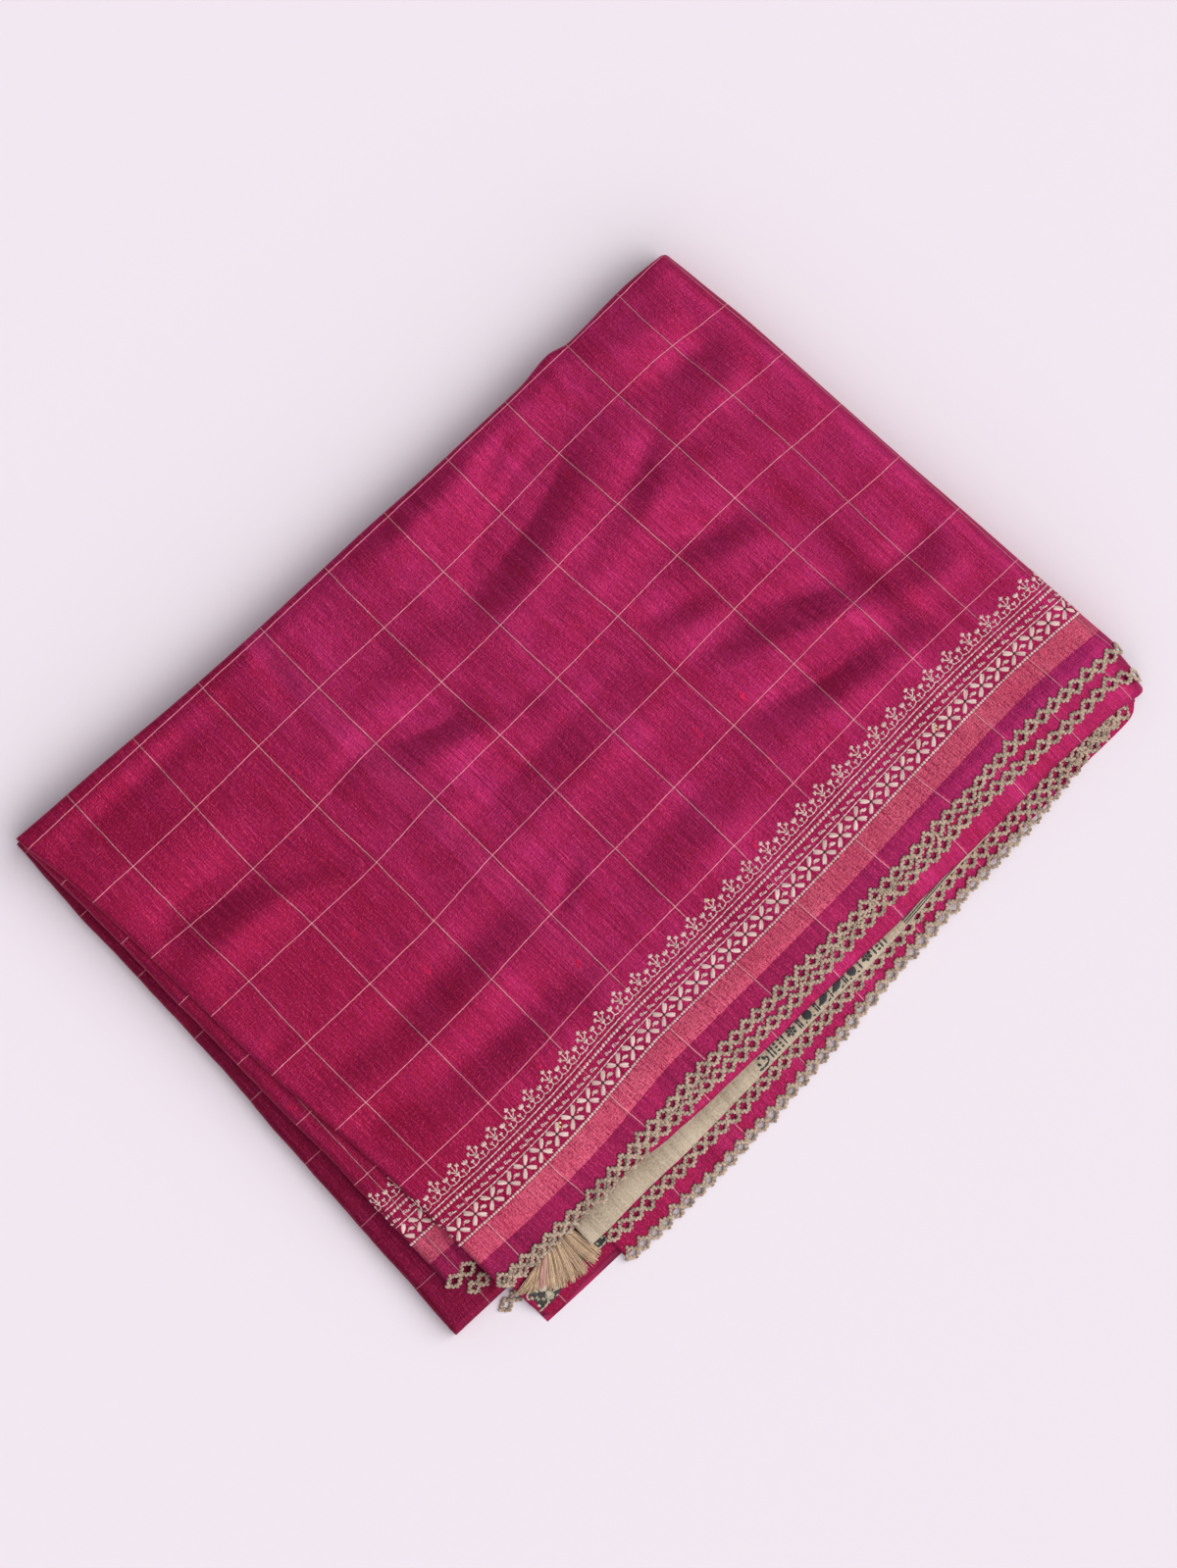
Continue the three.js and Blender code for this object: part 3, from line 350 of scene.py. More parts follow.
def silk_material(name, bands=True, shade=1.0, along_lines=True, border=False):
    """Magenta silk. bands adds the pink band and the dark strip along the selvedge, where the cloth's second
    coordinate is the distance from its edge; shade darkens all of it toward near black, as painted shade for
    stretches in shadow and as the darker dye of the selvedges; border fades the lines under the border."""
    made, tree, shader = new_material(name)
    place = node(tree, "ShaderNodeUVMap", uv_map="cloth").outputs[0]
    along, across = node(tree, "ShaderNodeSeparateXYZ", {0: place}).outputs[:2]
    woven = node(tree, "ShaderNodeGroup", {"Cloth": place}, node_tree=weave).outputs
    streak = ramp(tree, woven["Streak"], 0.36, 0.64)
    ground = blend(tree, streak, MAGENTA["dark"], MAGENTA["light"])
    ground = blend(tree, 0.42, ground, MAGENTA["mid"])
    # Darker and redder toward the left end: partly the dye's own change, partly painted shade on the side away
    # from the light.
    ground = blend(tree, ramp(tree, along, -0.02, -0.13, 0.0, 0.6), ground, CRIMSON)
    ground = tint(tree, ground, ramp(tree, woven["Patch"], 0.44, 0.64), 0.4, CRIMSON)
    for first, last, strength, bar_colour in WEFT_BARS:
        ground = tint(tree, ground, band(tree, along, first * MM, last * MM, 0.8 * MM), strength, bar_colour)
    ground = tint(tree, ground, ramp(tree, woven["Mottle"], 0.3, 0.72), 0.28, MAGENTA["dark"])
    ground = tint(tree, ground, woven["Slub"], 0.8, SLUB_RED)
    if bands:
        uneven = math(tree, "MULTIPLY_ADD", woven["Mottle"], 0.0008, across)
        pink = band(tree, uneven, STRIP_TO * MM, PINK_TO * MM, 0.18 * MM)
        dark = band(tree, uneven, -5 * MM, STRIP_TO * MM, 0.25 * MM)
        cream = ramp(tree, woven["Speckle"], 0.36, 0.66)
        tissue = blend(tree, cream, BAND_PINK["dark"], BAND_PINK["light"])
        worn = tint(tree, tissue, math(tree, "SUBTRACT", 1.0, streak), 0.6, BAND_PINK["dark"])
        ground = blend(tree, pink, ground, worn)
        strip = blend(tree, streak, SELVEDGE["dark"], SELVEDGE["light"])
        strip = blend(tree, ramp(tree, along, 0.02, 0.2, 0.0, 0.55), strip, FADED)
        ground = blend(tree, dark, ground, tint(tree, strip, woven["Bundle"], 0.8, INDIGO))
    ground = tint(tree, ground, ramp(tree, woven["Thread"], 0.64, 0.42), 0.3, MAGENTA["dark"])
    ground = tint(tree, ground, ramp(tree, woven["Speckle"], 0.5, 0.34), 0.64, PLUM)
    ground = tint(tree, ground, ramp(tree, woven["Speckle"], 0.52, 0.68), 0.42, BLUSH)
    ground = tint(tree, ground, woven["Bundle"], 0.4, MAGENTA["dark"])
    checked = node(tree, "ShaderNodeGroup", {"Cloth": place}, node_tree=lines).outputs
    crossing, crossing_painted_shadow = checked["Across"], checked["Across painted shadow"]
    if border:
        under = math(tree, "MULTIPLY_ADD", band(tree, across, PINK_TO * MM, BORDER_TO * MM, MM), -0.6, 1.0)
        crossing = math(tree, "MULTIPLY", crossing, under)
        crossing_painted_shadow = math(tree, "MULTIPLY", crossing_painted_shadow, under)
    # Painted shadow: a dark line beside each line across the cloth.
    ground = tint(tree, ground, crossing_painted_shadow, 0.4, LINE_BEIGE_AND_PAINTED_SHADOW["shade"])
    ground = tint(tree, ground, crossing, 0.6, LINE_BEIGE_AND_PAINTED_SHADOW["across"])
    raised = crossing
    if along_lines:
        running = math(tree, "MULTIPLY", checked["Along"], ramp(tree, across, 50 * MM, 52 * MM))
        ground = tint(tree, ground, running, 0.8, LINE_BEIGE_AND_PAINTED_SHADOW["along"])
        raised = math(tree, "MAXIMUM", crossing, running)
    # Darkens the whole stretch toward near black: painted shade for stretches in shadow, the darker dye for the
    # selvedges.
    if shade < 1:
        ground = blend(tree, 1 - shade, ground, DYE_AND_PAINTED_SHADE_DARK)
    relief = math(tree, "MULTIPLY_ADD", raised, 0.5, woven["Height"])
    relief = math(tree, "MULTIPLY_ADD", woven["Bundle"], 0.3, relief)
    relief = math(tree, "MULTIPLY_ADD", woven["Speckle"], 1.2, relief)
    dress(tree, shader, ground, relief, 0.7, 0.0005, {
        "Metallic": 0.62, "Roughness": 0.4, "Specular IOR Level": 0.4, "Specular Tint": SHEEN,
        "Sheen Weight": 0.12, "Sheen Roughness": 0.35, "Sheen Tint": SHEEN,
    })
    return made


UNDER_EDGE = {
    "x": [-126, 40, 90, 130, 150, 175, 190, 199, 204, 208],
    "y": [-165.8, -154, -152.3, -150.2, -149, -148, -147.7, -147.2, -145.8, -142.6],
}
under_edge = curve(UNDER_EDGE["x"], UNDER_EDGE["y"])


def lower_rim(s):
    """The lowest selvedge draws back from the fold beneath it as it nears the right-hand end."""
    return edge["lower"](s) + 3.0 * ease((s - 135) / 55)


def fold_rim(s):
    """The middle fold swings out a little at its right-hand end."""
    return edge["fold"](s) + 1.2 * ease((s - 120) / 40) - 1.6 * ease((s - 195) / 18)


def second_rim(s):
    """The second selvedge swings out with the fold beneath it."""
    return edge["second"](s) - 5.0 * ease((s - 203) / 18)


# The check lines that run up the cloth: the place of each, at heights Y across the pile.
LINES_UP = {
    "y": [-137, -120, -100, -75, -38, 0, 36, 73, 146],
    "line 1": [-162.4, -162.8, -163.5, -164.5, -165.7, -167, -167, -169.1, -169.8],
    "line 2": [-122.8, -124.3, -125.3, -126.1, -127, -128.4, -128.9, -131.6, -131.1],
    "line 3": [-82, -83.5, -85, -86.1, -87.3, -88.4, -89.5, -91.6, -93],
    "line 4": [-42, -43.2, -45, -46.8, -48.2, -49.5, -50.9, -53.4, -56.1],
    "line 5": [-0.8, -1.6, -3.6, -5.5, -7.3, -9.1, -10.2, -13.4, -16.8],
    "line 6": [38, 36.8, 34.6, 32.3, 30.5, 27.7, 25.5, 23, 19.3],
    "line 7": [77, 75.5, 73, 70.7, 69.1, 66.1, 64.3, 60, 55.9],
    "line 8": [117, 115.3, 112, 110, 107.5, 104.5, 102.3, 98.4, 92.3],
    "line 9": [154, 153, 150.8, 147.7, 145.7, 142, 138.6, 135.2, 129.5],
    "line 10": [188.5, 187.2, 185, 180.9, 177.3, 173.9, 172.3, 168.9, 161.4],
    "line 11": [218, 216.5, 213.5, 211.5, 209, 206, 203, 199, 191],
}
line_up = [curve(LINES_UP["y"], LINES_UP[f"line {k}"]) for k in range(1, 12)]


def along_cloth(s, y):
    """Distance along the sari: the check lines that run up the cloth fall on whole multiples of their
    pitch."""
    knots = [line(y) for line in line_up]
    total = -4 * CHECK + np.minimum(s - knots[0], 0) + np.maximum(s - knots[-1], 0)
    for low, high in zip(knots[:-1], knots[1:]):
        total = total + CHECK * np.clip((s - low) / (high - low), 0, 1)
    return total


def wall_faces(rows, columns):
    """Faces of a wall of cloth whose points are an upper grid followed by a lower one."""
    upper = grid_faces(rows, columns)
    lower = upper[:, ::-1] + rows * columns
    j = np.arange(columns - 1)
    i = np.arange(rows - 1)
    base = rows * columns
    front = np.stack([j + 1, j, base + j, base + j + 1], -1)
    last = (rows - 1) * columns
    back = np.stack([last + j, last + j + 1, base + last + j + 1, base + last + j], -1)
    left = np.stack([i * columns, (i + 1) * columns, base + (i + 1) * columns, base + i * columns], -1)
    end = columns - 1
    right = np.stack([(i + 1) * columns, i * columns, base + i * columns, base + (i + 1) * columns], -1) + end
    return np.concatenate([upper, lower, front, back, left, right])


END_RADIUS = 9.0
END_FOOT_RADIUS = 6.0


def place_points(x, y, z):
    """Points from their three coordinates, each a number or an array."""
    return np.stack(np.broadcast_arrays(x, y, z), -1)


def over_end(top, end, s, y, depth):
    """Carries a flat place over the last fold: level as far as the bend, a quarter circle, straight down the
    side and a quarter circle under the pile. depth is measured inwards from the outer face."""
    start = end - END_RADIUS
    flat = np.minimum(s, start)
    height = top(flat, y)
    past = np.maximum(s - start, 0)
    quarter = np.pi / 2
    turn = np.minimum(past / END_RADIUS, quarter)
    side = height - END_RADIUS - END_FOOT_RADIUS
    down = np.clip(past - END_RADIUS * quarter, 0, np.maximum(side, 0))
    under = np.clip((past - END_RADIUS * quarter - np.maximum(side, 0)) / END_FOOT_RADIUS, 0, quarter)
    foot = END_FOOT_RADIUS - depth
    x = flat + (END_RADIUS - depth) * np.sin(turn) - foot * (1 - np.cos(under))
    z = height - END_RADIUS + (END_RADIUS - depth) * np.cos(turn) - down - foot * np.sin(under)
    return place_points(x, y, z)


def ripple(s, t, seed):
    """Low uneven waves of hand-smoothed cloth, at most about 1: five sines of different lengths and
    directions."""
    rng = np.random.default_rng(seed)
    longest = 61.0
    full_turn = 6.28
    total = 0
    for length in (9.0, 14.0, 23.0, 38.0, longest):
        angle, phase = rng.uniform(-0.5, 0.5), rng.uniform(0, full_turn)
        place = s * np.cos(angle) + 1.6 * t * np.sin(angle)
        total = total + np.sin(full_turn / length * place + phase) * length / longest
    return total / 2.4


def crown_shape(s, inset, rim):
    """How far a roll swells between its edge and the fold that lies over it: half a sine wave, 1 at its
    middle."""
    room = np.maximum(edge["fold"](s) - rim(s), 0.01)
    return np.sin(np.pi * np.clip(inset / room, 0, 1)) * np.clip(room / 12, 0, 1)


def layer_top(level):
    """The upper face of a layer, as a function of a place: so far over the bed."""
    return lambda x, y: bed(x, y) + level


def new_wall(name, node_name, upper, lower, material, cloth):
    """Cloth with its thickness: a wall between an upper and a lower grid, which stands for a solid."""
    points = np.concatenate([upper.reshape(-1, 3), lower.reshape(-1, 3)])
    places = np.concatenate([cloth.reshape(-1, 2)] * 2)
    made = new_piece(name, points, wall_faces(*upper.shape[:2]), material, places)
    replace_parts(made, node_name)
    return made


def front_layer(name, node_name, material, level, thick, rim, start, stop, turn_to=0.0, rounded=0.0,
                seed=0, wave=0.12, edge_wave=0.25, show=14.0, line_shift=0.0, crown=0.0):
    """A stretch that lies on the slope: a rounded fold or a cut selvedge along the front, hidden at its
    back. It is a wall between two grids, and turns over the last fold as far as turn_to, a length along the
    cloth."""
    radius = thick / 2
    past_stop = stop + np.arange(1, 9) / 8 * turn_to if turn_to else []
    s = np.concatenate([np.arange(start, stop, 1.6), [stop], past_stop])
    if rounded:
        lean = np.linspace(0.14, np.pi / 2, 9)
        insets, openness = rounded * radius * (1 - np.cos(lean)), np.sin(lean)
    else:
        insets, openness = np.array([0.0, 0.15]), np.array([0.55, 1.0])
    inner = np.linspace(insets[-1] + 0.8, show, 9)
    insets = np.concatenate([insets, inner])
    openness = np.concatenate([openness, np.ones(len(inner))])
    s_grid, inset = np.meshgrid(s, insets)
    open_grid = np.repeat(openness[:, None], len(s), 1)
    y = rim(s_grid) + inset + edge_wave * ripple(s_grid, np.zeros_like(s_grid), seed + 1)
    wavy = wave * ripple(s_grid, y, seed) * ease(inset / 3.0) * (1 - ease((inset - show + 4) / 4))
    bulge = crown * crown_shape(s_grid, inset, rim) if crown else 0.0
    end = right_end(y) - (LEVEL["top"] - level) if turn_to else 1e6
    upper = over_end(layer_top(level), end, s_grid, y, radius - radius * open_grid - wavy - bulge)
    lower = over_end(layer_top(level), end, s_grid, y, radius + radius * open_grid - (0.0 if crown else wavy))
    cloth = np.stack([along_cloth(s_grid + line_shift, y), inset], -1)
    made = new_wall(name, node_name, upper, lower, material, cloth)


# Darkened toward near black: strong painted shade for the stretch low in the pile, a little darker dye for the
# selvedges.
shaded_silk = silk_material("magenta silk with painted shade, low in the pile", bands=False, shade=0.58)
plain_silk = silk_material("magenta silk, folded", bands=False, along_lines=False)
selvedge_silk = silk_material("magenta silk of the selvedges", bands=False, shade=0.9, along_lines=False)

front_layer("under_fold_cloth", "under_fold", plain_silk, LEVEL["under"], UNDER_FOLD, under_edge,
            -125.7, 208, rounded=1.0, seed=3)
front_layer("lower_selvedge_cloth", "lower_selvedge", selvedge_silk, LEVEL["lower"], SILK, lower_rim,
            -129, 204, seed=5, show=22, line_shift=10.5)
front_layer("inner_selvedge_cloth", "inner_selvedge", selvedge_silk, LEVEL["inner"], SILK,
            edge["inner"], -129, 201, seed=7, line_shift=10.5)

# --------------------------------------------------------------------------------------------- end piece fold
# The pallu, the sari's ornamental end, is beige raw silk. It is folded in and shows as a soft roll between
# the magenta layers, crossed near its middle by a woven black band of leaves, flowers and bars.

PALLU = {"ground": colour(172, 156, 134), "shade": colour(124, 107, 87), "light": colour(206, 191, 169)}
PALLU_CROWN = 1.5
PALLU_ROUND = 2.9


def raw_silk_material(name, tones):
    """Beige raw silk: uneven cross threads, darker stripes where the yarn thickens, a dry surface."""
    made, tree, shader = new_material(name)
    place = node(tree, "ShaderNodeUVMap", uv_map="cloth").outputs[0]
    woven = node(tree, "ShaderNodeGroup", {"Cloth": place}, node_tree=weave).outputs
    ground = blend(tree, ramp(tree, woven["Streak"], 0.36, 0.62), tones["shade"], tones["ground"])
    ground = tint(tree, ground, ramp(tree, woven["Speckle"], 0.4, 0.66), 0.6, tones["light"])
    dress(tree, shader, ground, woven["Height"], 0.8, 0.0005,
          {"Roughness": 0.72, "Specular IOR Level": 0.25, "Sheen Weight": 0.15})
    return made


front_layer("pallu_fold_cloth", "pallu_fold", raw_silk_material("beige raw silk", PALLU),
            LEVEL["pallu"], PALLU_FOLD, edge["pallu"], -136, 128, rounded=PALLU_ROUND, seed=9, wave=0.2,
            edge_wave=0.3, show=16, crown=PALLU_CROWN)


def grains(starts, ends, ups, widths, heights):
    """Stitches: a plump grain between each pair of points. Its section is an oval that grows as the square
    root of a sine from one tip to the other. Returns the points and the three-sided faces of all of them."""
    starts, ends, ups = (np.asarray(a, float).reshape(-1, 3) for a in (starts, ends, ups))
    count = len(starts)
    along = ends - starts
    length = np.linalg.norm(along, axis=1, keepdims=True)
    along = along / np.maximum(length, 1e-6)
    side = np.cross(along, ups)
    side /= np.maximum(np.linalg.norm(side, axis=1, keepdims=True), 1e-6)
    up = np.cross(side, along)
    share = np.array([0.12, 0.5, 0.88])
    swell = np.sqrt(np.sin(np.pi * share))
    angle = np.arange(6) / 6 * 2 * np.pi
    half_width = np.broadcast_to(np.asarray(widths, float), count)[:, None, None, None] / 2
    half_height = np.broadcast_to(np.asarray(heights, float), count)[:, None, None, None] / 2
    centre = starts[:, None, None] + (along * length)[:, None, None] * share[None, :, None, None]
    offset = side[:, None, None] * np.cos(angle)[None, None, :, None] * half_width
    offset = offset + up[:, None, None] * np.sin(angle)[None, None, :, None] * half_height
    rings = centre + offset * swell[None, :, None, None]
    points = np.concatenate([starts[:, None], rings.reshape(count, 18, 3), ends[:, None]], 1)
    j = np.arange(6)
    after = (j + 1) % 6
    faces = [np.stack([0 * j, 1 + after, 1 + j], -1), np.stack([19 + 0 * j, 13 + j, 13 + after], -1)]
    for ring in (1, 7):
        faces.append(np.stack([ring + j, ring + after, ring + 6 + after], -1))
        faces.append(np.stack([ring + j, ring + 6 + after, ring + 6 + j], -1))
    faces = np.concatenate(faces)[:, ::-1]
    return points.reshape(-1, 3), (faces[None] + 20 * np.arange(count)[:, None, None]).reshape(-1, 3)


def stitched(name, parts, material):
    """Joins lists of stitches into one piece. Each part holds starts, ends, ups, width and height."""
    starts, ends, ups = (np.concatenate([part[k].reshape(-1, 3) for part in parts]) for k in range(3))
    counts = [len(part[0].reshape(-1, 3)) for part in parts]
    widths, heights = (
        np.concatenate([np.broadcast_to(part[k], count) for part, count in zip(parts, counts)]) for k in (3, 4)
    )
    points, faces = grains(starts, ends, ups, widths, heights)
    tone = np.repeat(np.random.default_rng(len(name)).uniform(0, 1, len(starts)), len(points) // len(starts))
    made = new_piece(name, points, faces, material, tone=tone)
    return made


def yarn_material(name, dark, light, fine_scale, rough=0.85):
    """Twisted yarn: two tones that change from stitch to stitch, with a fine fibre grain."""
    made, tree, shader = new_material(name)
    tone = node(tree, "ShaderNodeAttribute", attribute_name="tone").outputs["Fac"]
    place = node(tree, "ShaderNodeTexCoord").outputs["Object"]
    grain = {"Vector": place, "Scale": fine_scale, "Detail": 3.0}
    fibre = node(tree, "ShaderNodeTexNoise", grain).outputs["Fac"]
    dress(tree, shader, blend(tree, weighted(tree, tone, 0.55, fibre), dark, light), fibre, 0.5, 0.0002,
          {"Roughness": rough, "Specular IOR Level": 0.25, "Sheen Weight": 0.2})
    return made


def up_on(put, s, y):
    """The outward direction of a layer at a place: the difference between two heights over it."""
    up = put(s, y, 1.0) - put(s, y, 0.0)
    return up / np.linalg.norm(up, axis=-1, keepdims=True)


def stitches_on(put, s0, y0, s1, y1, lift, width, height):
    """Stitches laid on a layer from places s0, y0 to places s1, y1."""
    s0, y0, s1, y1 = np.broadcast_arrays(s0, y0, s1, y1)
    return (put(s0, y0, lift), put(s1, y1, lift), up_on(put, (s0 + s1) / 2, (y0 + y1) / 2), width, height)


# The black band of the pallu: leaves, flowers and scrolls between bars. A motif is a list of strokes, each
# with its two ends and its width.
LEAF = [((-2.9, -1.0), (2.9, 1.1), 2.5), ((-1.6, 0.6), (1.2, 1.6), 1.2), ((-3.4, -1.3), (-1.8, -0.4), 0.8),
        ((2.0, 0.6), (3.5, 1.5), 0.8), ((-3.0, 2.0), (-1.0, 2.5), 0.6), ((1.0, -2.4), (3.0, -2.0), 0.6)]
BUD = [((-2.3, 0.2), (2.3, 0.2), 3.9), ((0, -2.4), (0, 2.7), 2.6), ((-3.0, -2.5), (-1.8, -2.2), 0.7),
       ((1.8, -2.2), (3.0, -2.5), 0.7)]
FLOWER = [((0.8 * np.cos(a), 0.8 * np.sin(a)), (2.9 * np.cos(a), 2.4 * np.sin(a)), 1.2)
          for a in np.arange(6) * np.pi / 3 + 0.3] + [((-0.6, 0), (0.6, 0), 1.1)]
SCROLL = [((-3.6, -2.2), (-0.6, -2.5), 0.9), ((-0.8, -2.5), (2.4, -1.9), 0.9), ((2.2, -2.0), (3.4, -0.4), 0.8),
          ((3.4, -0.6), (2.9, 1.0), 0.8), ((1.0, 0.6), (2.4, 1.1), 1.7), ((-2.4, -0.4), (-1.2, 0.2), 1.5),
          ((-0.9, 2.0), (0.9, 2.4), 0.9)]
BEADS = [((0, -2.4), (0, -1.3), 1.3), ((0, -0.6), (0, 0.5), 1.3), ((0, 1.2), (0, 2.3), 1.3)]
BAR = [((0, -2.7), (0, 0.1), 0.85), ((0, -0.1), (0, 2.9), 0.85)]
PALLU_ROW = [
    # place along the pile, motif
    (-24.6, SCROLL), (-19.2, BAR), (-17.6, BAR), (-15.4, BEADS), (-12.8, BEADS), (-10.6, BAR), (-5.8, FLOWER),
    (-1.4, BAR), (-0.2, BAR), (4.4, BUD), (9.2, BAR), (10.3, BAR), (14.4, LEAF), (18.6, BAR), (22.8, LEAF),
    (27.0, BAR), (28.1, BAR), (32.2, BUD), (36.8, BAR), (41.6, FLOWER), (45.8, BAR), (48.2, BEADS), (50.2, BAR),
    (52.4, BAR),
]


def quarter_round(share):
    """How far a rounded edge lies below its crest: one less the height of a quarter circle, 1 at its rim."""
    return 1 - np.sqrt(np.clip(1 - (1 - np.clip(share, 0, 1)) ** 2, 0, 1))


def on_pallu(s, y, lift):
    """Puts a place on the roll's upper face, which is the fold's rounded edge and the swell behind it."""
    inset = y - edge["pallu"](s)
    radius = PALLU_FOLD / 2
    fall = radius * quarter_round(inset / (PALLU_ROUND * radius))
    swell = PALLU_CROWN * crown_shape(s, inset, edge["pallu"])
    return place_points(s, y, bed(s, y) + LEVEL["pallu"] - fall + swell + lift)


def motif_stitches(put, place, middle, motif, stretch=1.0):
    """The strokes of one motif of the black band, round a place on a layer."""
    start, stop = (np.array([stroke[k] for stroke in motif], float) for k in (0, 1))
    widths = np.array([stroke[2] for stroke in motif])
    return stitches_on(put, place + start[:, 0], middle + start[:, 1] * stretch,
                       place + stop[:, 0], middle + stop[:, 1] * stretch, 0.22, widths * 1.35, 0.6)


BAND_MIDDLE = 3.9
pallu_marks = [
    motif_stitches(on_pallu, place, edge["pallu"](place) + BAND_MIDDLE, motif) for place, motif in PALLU_ROW
]
tail = np.linspace(64, 108, 40)[:-1]
for offset in (0.9, 1.9, 3.0):
    keep = tail[tail < 84 + 8 * (3 - offset)]
    pallu_marks.append(stitches_on(on_pallu, keep, edge["pallu"](keep) + offset, keep + 1.3,
                                   edge["pallu"](keep + 1.3) + offset + 0.25, 0.1, 0.7, 0.4))
black_yarn = yarn_material("black band yarn", colour(24, 24, 28), colour(66, 66, 70), 3000, 0.7)
stitched("pallu_band", pallu_marks, black_yarn)

# ------------------------------------------------------------------------------------------- crocheted edging
# Khaki cotton, hooked straight onto the selvedges: a row of open diamonds joined at thick knots. The upper
# point of each diamond overlaps the cloth, its lower side is a rounded scallop outside the edge.

CROCHET_PITCH = 6.8
crochet_yarn = yarn_material("khaki crochet yarn", colour(100, 82, 70), colour(204, 180, 158), 2600)
DIAMOND = {
    # strand: places along the edge as shares of the pitch, and distances outside the cloth's edge
    "point": [(0.0, 1.3), (0.24, 0.1), (0.43, -1.2), (0.5, -1.75), (0.57, -1.2), (0.76, 0.1), (1.0, 1.3)],
    "scallop": [(0.0, 1.3), (0.17, 2.5), (0.34, 3.6), (0.5, 4.0), (0.66, 3.6), (0.83, 2.5), (1.0, 1.3)],
    "knot": [(-0.07, 0.7), (0.0, 1.3), (0.07, 1.9)],
}
STITCH_STEP = 0.86
CHAIN = {"half": 0.85, "lean": 0.42, "swing": 0.36, "width": 1.58, "height": 1.35}
DIAMOND_MIDDLE = 1.4


def on_layer(level):
    """A function that puts a place on a layer's upper face, lifted off it, and turns it over the last
    fold."""

    def put(s, y, lift):
        return over_end(layer_top(level), right_end(y) - (LEVEL["top"] - level), s, y, -lift)

    return put


def along_path(points, total, t):
    """The places at distances t along a path, where total is the distance of each of its points."""
    return np.stack([np.interp(t, total, points[:, c]) for c in (0, 1)], -1)


def edging(name, node_name, start, stop, rim, put, seed, droop=None, drop=0.25):
    """One row of diamonds from start to stop along a selvedge. Every strand is a chain of short stitches
    that lean to either side of its path in turn, as a crochet chain does."""
    rng = np.random.default_rng(seed)
    count = int(round((stop - start) / CROCHET_PITCH))
    pitch = (stop - start) / count
    firsts, seconds = [], []
    for k in range(count):
        grow = 1 + rng.normal(0, 0.08)
        shift = rng.normal(0, 0.34, 2)
        tilt = rng.normal(0, 0.1)
        centre = np.array([start + (k + 0.5) * pitch, DIAMOND_MIDDLE])
        for path in DIAMOND.values():
            points = np.array(path)
            points = np.stack([start + (k + points[:, 0]) * pitch, points[:, 1]], -1)
            inside = 1 - np.clip(np.abs(points[:, 0] - centre[0]) / (pitch / 2), 0, 1)
            away = points - centre
            away = away * (1 + (grow - 1) * inside[:, None]) + inside[:, None] * (shift + tilt * away[:, ::-1])
            points = centre + away
            total = np.concatenate([[0], np.cumsum(np.linalg.norm(np.diff(points, axis=0), axis=1))])
            number = max(int(total[-1] / STITCH_STEP), 2)
            t = (np.arange(number) + 0.5) / number * total[-1]
            way = along_path(points, total, t + 0.3) - along_path(points, total, t - 0.3)
            way /= np.maximum(np.linalg.norm(way, axis=1, keepdims=True), 1e-6)
            across = np.stack([-way[:, 1], way[:, 0]], -1)
            hand = np.where(np.arange(number) % 2 == 0, 1.0, -1.0)[:, None]
            half = way * CHAIN["half"] + across * CHAIN["lean"] * hand
            middle = along_path(points, total, t) + across * CHAIN["swing"] * hand
            firsts.append(middle - half)
            seconds.append(middle + half)
    first, second = np.concatenate(firsts), np.concatenate(seconds)
    wobble = rng.normal(0, 0.05, len(first))

    def lay(place):
        s, out = place[:, 0], place[:, 1]
        over = 0.45 * (1 - ease((out + 0.2) / 1.4)) + 0.15
        fall = drop * ease(out / 5) if droop is None else droop(s, out)
        return put(s, rim(s) - out, over - fall + wobble)

    up = up_on(put, (first[:, 0] + second[:, 0]) / 2, rim(first[:, 0]) - first[:, 1])
    parts = [(lay(first), lay(second), up, CHAIN["width"], CHAIN["height"])]
    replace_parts(stitched(name, parts, crochet_yarn), node_name)


def droop_low(s, out):
    """The lowest edging hangs from its cloth to the table, but lies on the fold that peeps out at the
    right."""
    free = 1 - ease((s - 60) / 30)
    return (BED_FOOT - 1.0) * free * np.clip((out + 0.2) / 3.2, 0, 1) - 0.3 * (1 - free)


edging("crochet_lower_yarn", "crochet_lower", -129, 204, lower_rim, on_layer(LEVEL["lower"]), 21,
       droop=droop_low)
edging("crochet_inner_yarn", "crochet_inner", -129, 196, edge["inner"], on_layer(LEVEL["inner"]), 22)

# ------------------------------------------------------------------------------------------ turned-out corner
# At the front left a corner of the stretch below is turned out. It shows the magenta edge of the body and,
# inside it, the beginning of the beige pallu with its black figuring.

CORNER_RIM = {
    "x": [-175, -174.6, -173.4, -171, -168, -164, -158, -150, -126],
    "y": [-155, -158.6, -162, -165.2, -166.6, -166.4, -165.2, -164.3, -164],
}
corner_rim = curve(CORNER_RIM["x"], CORNER_RIM["y"])
CORNER_SWELL = 4.0


def corner_top(x, y):
    """Upper face of the corner: it fills the room of the layers that end to its right, and sinks to its
    rim."""
    across = ease((-131 - x) / 8)
    deep = ease((y + 158) / 14)
    return bed(x, y) + LEVEL["under"] + CORNER_SWELL * across * deep


